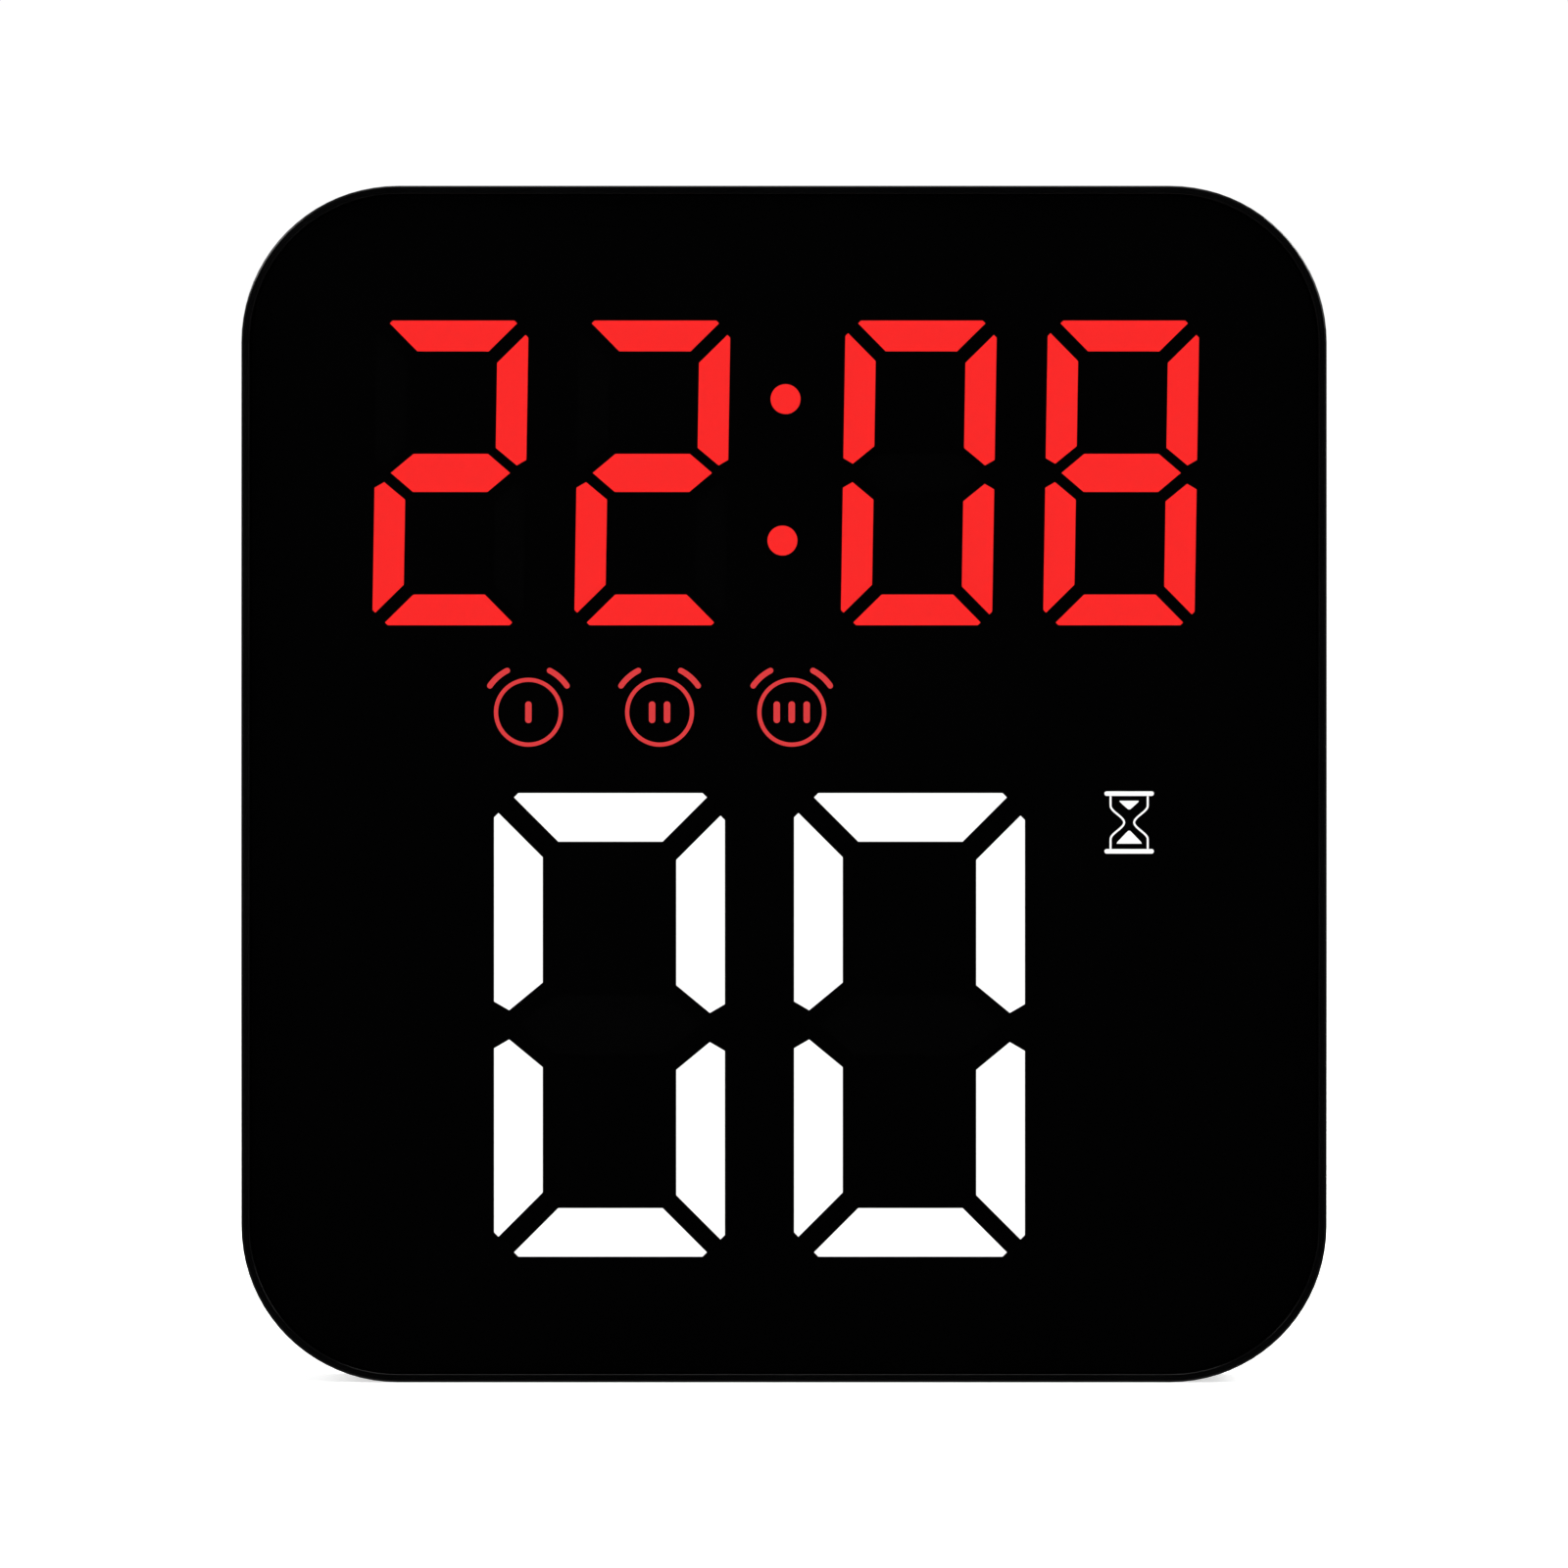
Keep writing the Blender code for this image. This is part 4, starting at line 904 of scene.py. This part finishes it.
def key_caps():
    """Round caps with a flange, a soft edge and a dished top, each with a raised pictogram."""
    radius, edge = 4.5, 0.7
    for name in KEY_NAMES:
        low, high = node_box("button_" + name)
        x, z = (low.x + high.x) / 2, (low.z + high.z) / 2
        top = high.y
        profile = [(5.3, low.y), (5.4, low.y + 0.1), (5.4, low.y + 0.6), (radius, low.y + 0.7)]
        profile += [(radius, top - edge)] + corner_arc((radius - edge, top - edge), edge, 15, 90)
        profile += [(3.2, top - 0.06), (2.4, top - 0.16), (1.4, top - 0.22), (0.4, top - 0.24)]
        cap = make_object("key_cap_" + name, turned(profile, (x, 0, z)))
        piece(cap, "key_rubber", "key_" + name, ["button_" + name])
        sign = make_object("key_sign_" + name, key_sign(name, x, z, top - 0.3, top - 0.08))
        piece(sign, "print_white", "key_" + name, smooth=False)


def key_sign(name, x, z, low, high):
    """A pictogram without lettering, seen from the rear, where +X is to the left."""
    triangles = {
        "up": (x, z - 0.3, 1.7, 3, math.pi / 2),
        "down": (x, z + 0.3, 1.7, 3, -math.pi / 2),
        "start": (x, z, 1.75, 3, math.pi),
    }
    if name in triangles:
        return prism(polygon(*triangles[name]), low, high)
    clock_hands, dot = band([(x, z + 0.95), (x, z), (x - 0.75, z)], 0.36), circle(x, z, 0.5, 20)
    ring = ring_prism(circle(x, z, 1.75, 40), circle(x, z, 1.35, 40), low, high)
    return joined(ring, prism(clock_hands if name == "mode" else dot, low, high))


def slider():
    """The ribbed knob, and a dot and a dash printed at the two ends of its travel."""
    low, high = node_box("slide_switch_knob")
    face, edge, groove_half = (low.x, high.x, low.z, high.z), 0.25, 0.22
    body, top = rounded(*face, 0.35, 4), rounded(*grown(face, -edge), 0.3, 4)
    knob = make_object("slider_knob", loft([(body, low.y), (body, high.y - edge), (top, high.y)]))
    middle = (low.x + high.x) / 2
    grooves = [box((x - groove_half, high.y - 0.45, low.z - 1), (x + groove_half, high.y + 1, high.z + 1))
               for x in (middle - 1.65, middle - 0.82, middle, middle + 0.82, middle + 1.65)]
    cut(knob, *grooves)
    piece(knob, "key_rubber", "slider", ["slide_switch_knob"])
    mark_z = (low.z + high.z) / 2 + 4.6
    marks = [circle(low.x - 0.8, mark_z, 0.55, 20),
             rounded(high.x + 3.25, high.x + 4.35, mark_z - 0.25, mark_z + 0.25, 0.2, 3)]
    piece(make_object("slider_marks", prisms(marks, KEY_FLOOR - PRINT_DEPTH, KEY_FLOOR + 0.08)),
          "print_white", smooth=False)


def screws():
    """Pan heads with a cross recess, in their counterbores."""
    shank, head, cheek, crown = 1.2, 2.6, 0.9, 1.3
    cross_reach, cross_width = 1.45, 0.62
    for number, place in enumerate(screw_places(), 1):
        low, high = node_box(f"case_screw_{number}")
        seat = high.y - 2.0
        profile = [(0.4, low.y), (shank, low.y + 1.5), (shank, seat), (head, seat), (head, seat + cheek)]
        profile += [(crown + x, seat + cheek + 0.85 * y) for x, y in corner_arc((0, 0), crown, 15, 75)]
        profile.append((0.3, high.y))
        screw = make_object(f"case_screw_head_{number}", turned(profile, (place.x, 0, place.z), sides=40))
        tightened = 0.4 + 0.3 * number
        cross = [prism(band(polygon(place.x, place.z, cross_reach, 2, start), cross_width, round_ends=False),
                       seat + 0.8, seat + 3) for start in (tightened + math.pi, tightened + 1.5 * math.pi)]
        cut(screw, *cross)
        piece(screw, "zinc_steel", replaces=[f"case_screw_{number}"])


def hatch():
    """The round cover of the coin cell, with a turned groove, a slot for a coin and an arrow."""
    low, high = node_box("battery_cover")
    x, z = (low.x + high.x) / 2, (low.z + high.z) / 2
    radius, edge, slot_edge, arrow_radius = (high.x - low.x) / 2, 0.5, 0.25, 7.4
    profile = [(10.4, low.y), (10.5, low.y + 0.1), (10.5, low.y + 0.8), (radius, low.y + 0.8)]
    profile += [(radius, high.y - edge)] + corner_arc((radius - edge, high.y - edge), edge, 15, 90, 4)
    profile += [(10.6, high.y), (10.4, high.y - 0.3), (9.8, high.y - 0.3), (9.6, high.y), (0.5, high.y)]
    cover = make_object("hatch_cover", turned(profile, (x, 0, z), sides=72))
    slot, mouth = (rounded(*grown((x - 6.0, x + 6.0, z - 0.95, z + 0.95), grow), 0.9 + grow)
                   for grow in (0.0, slot_edge))
    cut(cover, loft([(slot, high.y - 1.0), (slot, high.y - slot_edge), (mouth, high.y), (mouth, high.y + 1)]))
    piece(cover, "black_case", "hatch", ["battery_cover"])
    shaft = arc(x, z, arrow_radius, math.radians(122), math.radians(62), 10)
    tip_turn = math.radians(54)
    tip = (x + arrow_radius * math.cos(tip_turn), z + arrow_radius * math.sin(tip_turn))
    marks = [band(shaft, 0.7), polygon(*tip, 1.3, 3, math.radians(-36))]
    piece(make_object("hatch_arrow", prisms(marks, high.y - PRINT_DEPTH, high.y + 0.18)),
          "print_white", "hatch", smooth=False)


def memory_cell():
    """A coin cell with a rolled edge and an engraved plus sign, seen when the hatch is off."""
    low, high = node_box("coin_cell")
    x, z = (low.x + high.x) / 2, (low.z + high.z) / 2
    radius, edge = (high.x - low.x) / 2, 0.4
    profile = [(8.6, low.y), (8.9, low.y + 0.4), (9.5, low.y + 0.5), (radius, low.y + 1.0)]
    profile += corner_arc((radius - edge, high.y - edge), edge, 0, 90, 4)
    profile.append((0.4, high.y))
    cell = make_object("memory_cell", turned(profile, (x, 0, z), sides=96))
    plus = [prism(rounded(x - across, x + across, z - upright, z + upright, 0.2), high.y - 0.15, high.y + 1)
            for across, upright in ((3.0, 0.6), (0.6, 3.0))]
    cut(cell, *plus)
    piece(cell, "tinned_steel", replaces=["coin_cell"])


def stand():
    """The folding leg: a ribbed plate with soft edges that hangs from a barrel on the pin."""
    low, high = node_box("stand_leg")
    inner, outer, half = 10.0, 13.6, high.x
    taper_x, taper_z = half - 4, low.z + 24
    panel_x, panel_low, panel_high = half - 6, 30.0, 92.0
    rib_half = 0.55

    def plate(grow, y):
        right = [(taper_x + grow, low.z - grow), (half + grow, taper_z - grow)]
        left = [(-x, z) for x, z in reversed(right)]
        return [(half + grow, HINGE.z), (-half - grow, HINGE.z)] + left + right, y

    def panel(grow, y):
        return rounded(*grown((-panel_x, panel_x, panel_low, panel_high), grow), 5.0 + grow), y

    leg = make_object("folding_leg", loft([plate(-0.4, inner), plate(0, inner + 0.4), plate(0, outer - 0.5),
                                           plate(-0.2, outer - 0.15), plate(-0.5, outer)]))
    barrel = [(2.6, -half), (2.9, -half + 0.3), (2.9, half - 0.3), (2.6, half)]
    add(leg, turned(barrel, (0, HINGE.y, HINGE.z), "X", 40))
    ribs = [prism(rounded(-14.0, 14.0, z - rib_half, z + rib_half, 0.5, 4), outer - 0.5, outer + 1)
            for z in (11.0 + 2.6 * step for step in range(6))]
    cut(leg, cylinder(BORE_RADIUS, -half - 1, half + 1, (0, HINGE.y, HINGE.z), "X"),
        loft([panel(-0.4, outer - 0.6), panel(0, outer - 0.1), panel(0.2, outer + 1)]), *ribs)
    piece(leg, "black_case", "stand", ["stand_leg"])
    leg_rubber(low.z + 0.2)


def leg_rubber(top):
    """The grooved foot along the tip of the leg. It reaches a little into the leg."""
    low, high = node_box("stand_foot")
    edge, groove_half = 0.4, 0.35
    narrow = rounded(low.x + 0.3, high.x - 0.3, low.z + 0.3, top - 0.1, 0.5, 4)
    full = rounded(low.x, high.x, low.z, top, 0.7, 4)
    foot = make_object("leg_rubber", loft([(narrow, low.y), (full, low.y + edge), (full, high.y - edge),
                                           (narrow, high.y)]))
    grooves = [box((x - groove_half, low.y - 1, low.z - 1), (x + groove_half, high.y + 1, low.z + 0.5))
               for x in (2.4 * step for step in range(-8, 9))]
    cut(foot, *grooves)
    piece(foot, "rubber", "stand", ["stand_foot"])


def foot_pads():
    """Grooved pads let into the underside. Each is drawn lying down, then its y and z change places."""
    swap_y_z = Matrix(((1, 0, 0, 0), (0, 0, 1, 0), (0, 1, 0, 0), (0, 0, 0, 1)))
    first_groove, pitch, groove = 1.3, 1.8, 0.5
    for side in ("left", "right"):
        low, high = node_box("foot_pad_" + side)
        outline = rounded(low.x, high.x, low.y, high.y, 1.0)
        pad = make_object("base_pad_" + side, prism(outline, low.z, high.z))
        pad.data.transform(swap_y_z)
        pad.data.flip_normals()
        grooves = [box((low.x - 1, y, low.z - 1), (high.x + 1, y + groove, 0.3))
                   for y in (low.y + first_groove + pitch * step for step in range(4))]
        cut(pad, *grooves)
        piece(pad, "rubber", replaces=["foot_pad_" + side])


def inlet():
    """The socket: a bright shell, and inside it a dark tongue with a row of contacts."""
    low, high = node_box("usb_c_socket")
    centre = (low + high) / 2
    wall, contact_pitch = 0.32, 0.5

    def stadium(shrink, start, end):
        half_x, half_y = (high.x - low.x) / 2 - shrink, (high.y - low.y) / 2 - shrink
        mesh = prism(rounded(-half_x, half_x, -half_y, half_y, half_y * 0.99, 10), start, end)
        mesh.transform(Matrix.Translation((centre.x, centre.y, 0)) @ Matrix.Rotation(math.pi / 2, 4, "X"))
        return mesh

    shell = make_object("socket_shell", stadium(0.0, low.z, high.z))
    cut(shell, stadium(wall, low.z - 1, high.z - 1))
    piece(shell, "tinned_steel", replaces=["usb_c_socket"])

    def block(x, half_x, half_y, start, end):
        return box((x - half_x, centre.y - half_y, start), (x + half_x, centre.y + half_y, end))

    tongue = block(centre.x, 3.3, 0.35, low.z + 0.8, high.z - 0.5)
    piece(make_object("socket_tongue", tongue), "chip_black", smooth=False)
    contacts = [block(centre.x + contact_pitch * (step - 5.5), 0.13, 0.40, low.z + 1.2, low.z + 4.4)
                for step in range(12)]
    piece(make_object("socket_contacts", joined(*contacts)), "tinned_steel", smooth=False)


def label():
    """A plain silver sticker with a printed frame and no lettering."""
    low, high = node_box("rating_label")
    face = (low.x, high.x, low.z, high.z)
    sticker = make_object("blank_label", prism(rounded(*face, 1.5), low.y, high.y))
    piece(sticker, "label_silver", replaces=["rating_label"])
    outer, inner = rounded(*grown(face, -1.2), 1.0), rounded(*grown(face, -1.5), 0.8)
    line = ring_prism(outer, inner, high.y - PRINT_DEPTH, high.y + 0.02)
    piece(make_object("label_frame", line), "black_case", smooth=False)


# ---------------------------------------------------------------- stage

CAMERA_LENS = 200.0
SENSOR = 36.0
FRAME_WIDTH = 303.25
FLOOR_REACH = 40000.0
FLOOR_GLOW = 0.62
FILL_LEVEL = 0.50
MIRROR_LEVEL = 0.30
WHITE_LEVEL = 1.02

LIGHT_TARGET = (0.0, 0.0, 0.11)

# Name, place in metres, size in metres, power in watts
SOFTBOXES = (
    ("key", (-1.5, -0.7, 1.3), 0.9, 16.0),
    ("fill", (1.6, -0.5, 0.8), 0.8, 7.0),
    ("back_key", (1.6, 0.55, 1.5), 0.8, 34.0),
    ("back_fill", (-1.5, 0.8, 0.6), 0.8, 7.0),
    ("top", (0.0, 0.3, 1.7), 1.0, 12.0),
)


def stage():
    """A wide pale floor that glows a little, so that it is as white as the background."""
    sheet = bmesh.new()
    for x, y in ((-1, -1), (1, -1), (1, 1), (-1, 1)):
        sheet.verts.new((x * FLOOR_REACH, y * FLOOR_REACH, 0))
    sheet.faces.new(sheet.verts)
    floor = make_object("floor", sheet)
    made, nodes, links, surface_socket = new_material("pale_floor")
    diffuse = nodes.new("ShaderNodeBsdfDiffuse")
    diffuse.inputs["Color"].default_value = (0.80, 0.80, 0.80, 1.0)
    grain = noise(nodes.new("ShaderNodeTexCoord").outputs["Object"], 300.0)
    links.new(bump(grain, 0.1, 0.0002), diffuse.inputs["Normal"])
    glow = nodes.new("ShaderNodeEmission")
    glow.inputs["Strength"].default_value = FLOOR_GLOW
    both = nodes.new("ShaderNodeAddShader")
    links.new(diffuse.outputs["BSDF"], both.inputs[0])
    links.new(glow.outputs["Emission"], both.inputs[1])
    links.new(both.outputs["Shader"], surface_socket)
    floor.data.materials.append(made)
    floor.visible_glossy = False


def softbox(name, place, size, power):
    light = bpy.data.lights.new(name, "AREA")
    light.shape = "SQUARE"
    light.size = size
    light.energy = power
    made = bpy.data.objects.new(name, light)
    made.location = place
    made.rotation_euler = (Vector(LIGHT_TARGET) - Vector(place)).to_track_quat("-Z", "Y").to_euler()
    bpy.context.scene.collection.objects.link(made)


def background(nodes, level):
    made = nodes.new("ShaderNodeBackground")
    made.inputs["Color"].default_value = (1.0, 1.0, 1.0, 1.0)
    made.inputs["Strength"].default_value = level
    return made


def world():
    """White to the camera. Mirror reflections see a soft grey room that is dark straight in front."""
    made = bpy.data.worlds.new("studio")
    bpy.context.scene.world = made
    made.use_nodes = True
    nodes, links = made.node_tree.nodes, made.node_tree.links
    nodes.clear()
    output = nodes.new("ShaderNodeOutputWorld")
    path = nodes.new("ShaderNodeLightPath")
    facing = nodes.new("ShaderNodeVectorMath")
    facing.operation = "DOT_PRODUCT"
    facing.inputs[1].default_value = (0.0, -1.0, 0.0)
    links.new(nodes.new("ShaderNodeTexCoord").outputs["Generated"], facing.inputs[0])
    room, fill, white = (background(nodes, level) for level in (MIRROR_LEVEL, FILL_LEVEL, WHITE_LEVEL))
    links.new(spread(facing.outputs["Value"], 0.70, 0.95, MIRROR_LEVEL, 0.0), room.inputs["Strength"])
    unseen = mix_shaders(path.outputs["Is Glossy Ray"], fill.outputs[0], room.outputs[0])
    whole = mix_shaders(path.outputs["Is Camera Ray"], unseen, white.outputs[0])
    links.new(whole, output.inputs["Surface"])


def camera():
    """Straight in front of the middle of the case, at half its height."""
    distance = FRAME_WIDTH * CAMERA_LENS / SENSOR
    data = bpy.data.cameras.new("camera")
    data.lens = CAMERA_LENS
    data.sensor_width = SENSOR
    data.clip_end = 200.0
    made = bpy.data.objects.new("camera", data)
    made.location = Vector((0.0, FRONT - distance, (CASE_LOW.z + CASE_HIGH.z) / 2)) * MM
    made.rotation_euler = (math.radians(90.0), 0.0, 0.0)
    bpy.context.scene.collection.objects.link(made)
    bpy.context.scene.camera = made


bpy.context.scene.view_settings.view_transform = "Standard"
camera()
stage()
world()
for name, place, size, power in SOFTBOXES:
    softbox(name, place, size, power)
dress_cad_nodes()
display()
front_shell()
lens()
rear_shell()
key_caps()
slider()
screws()
hatch()
memory_cell()
stand()
foot_pads()
inlet()
label()
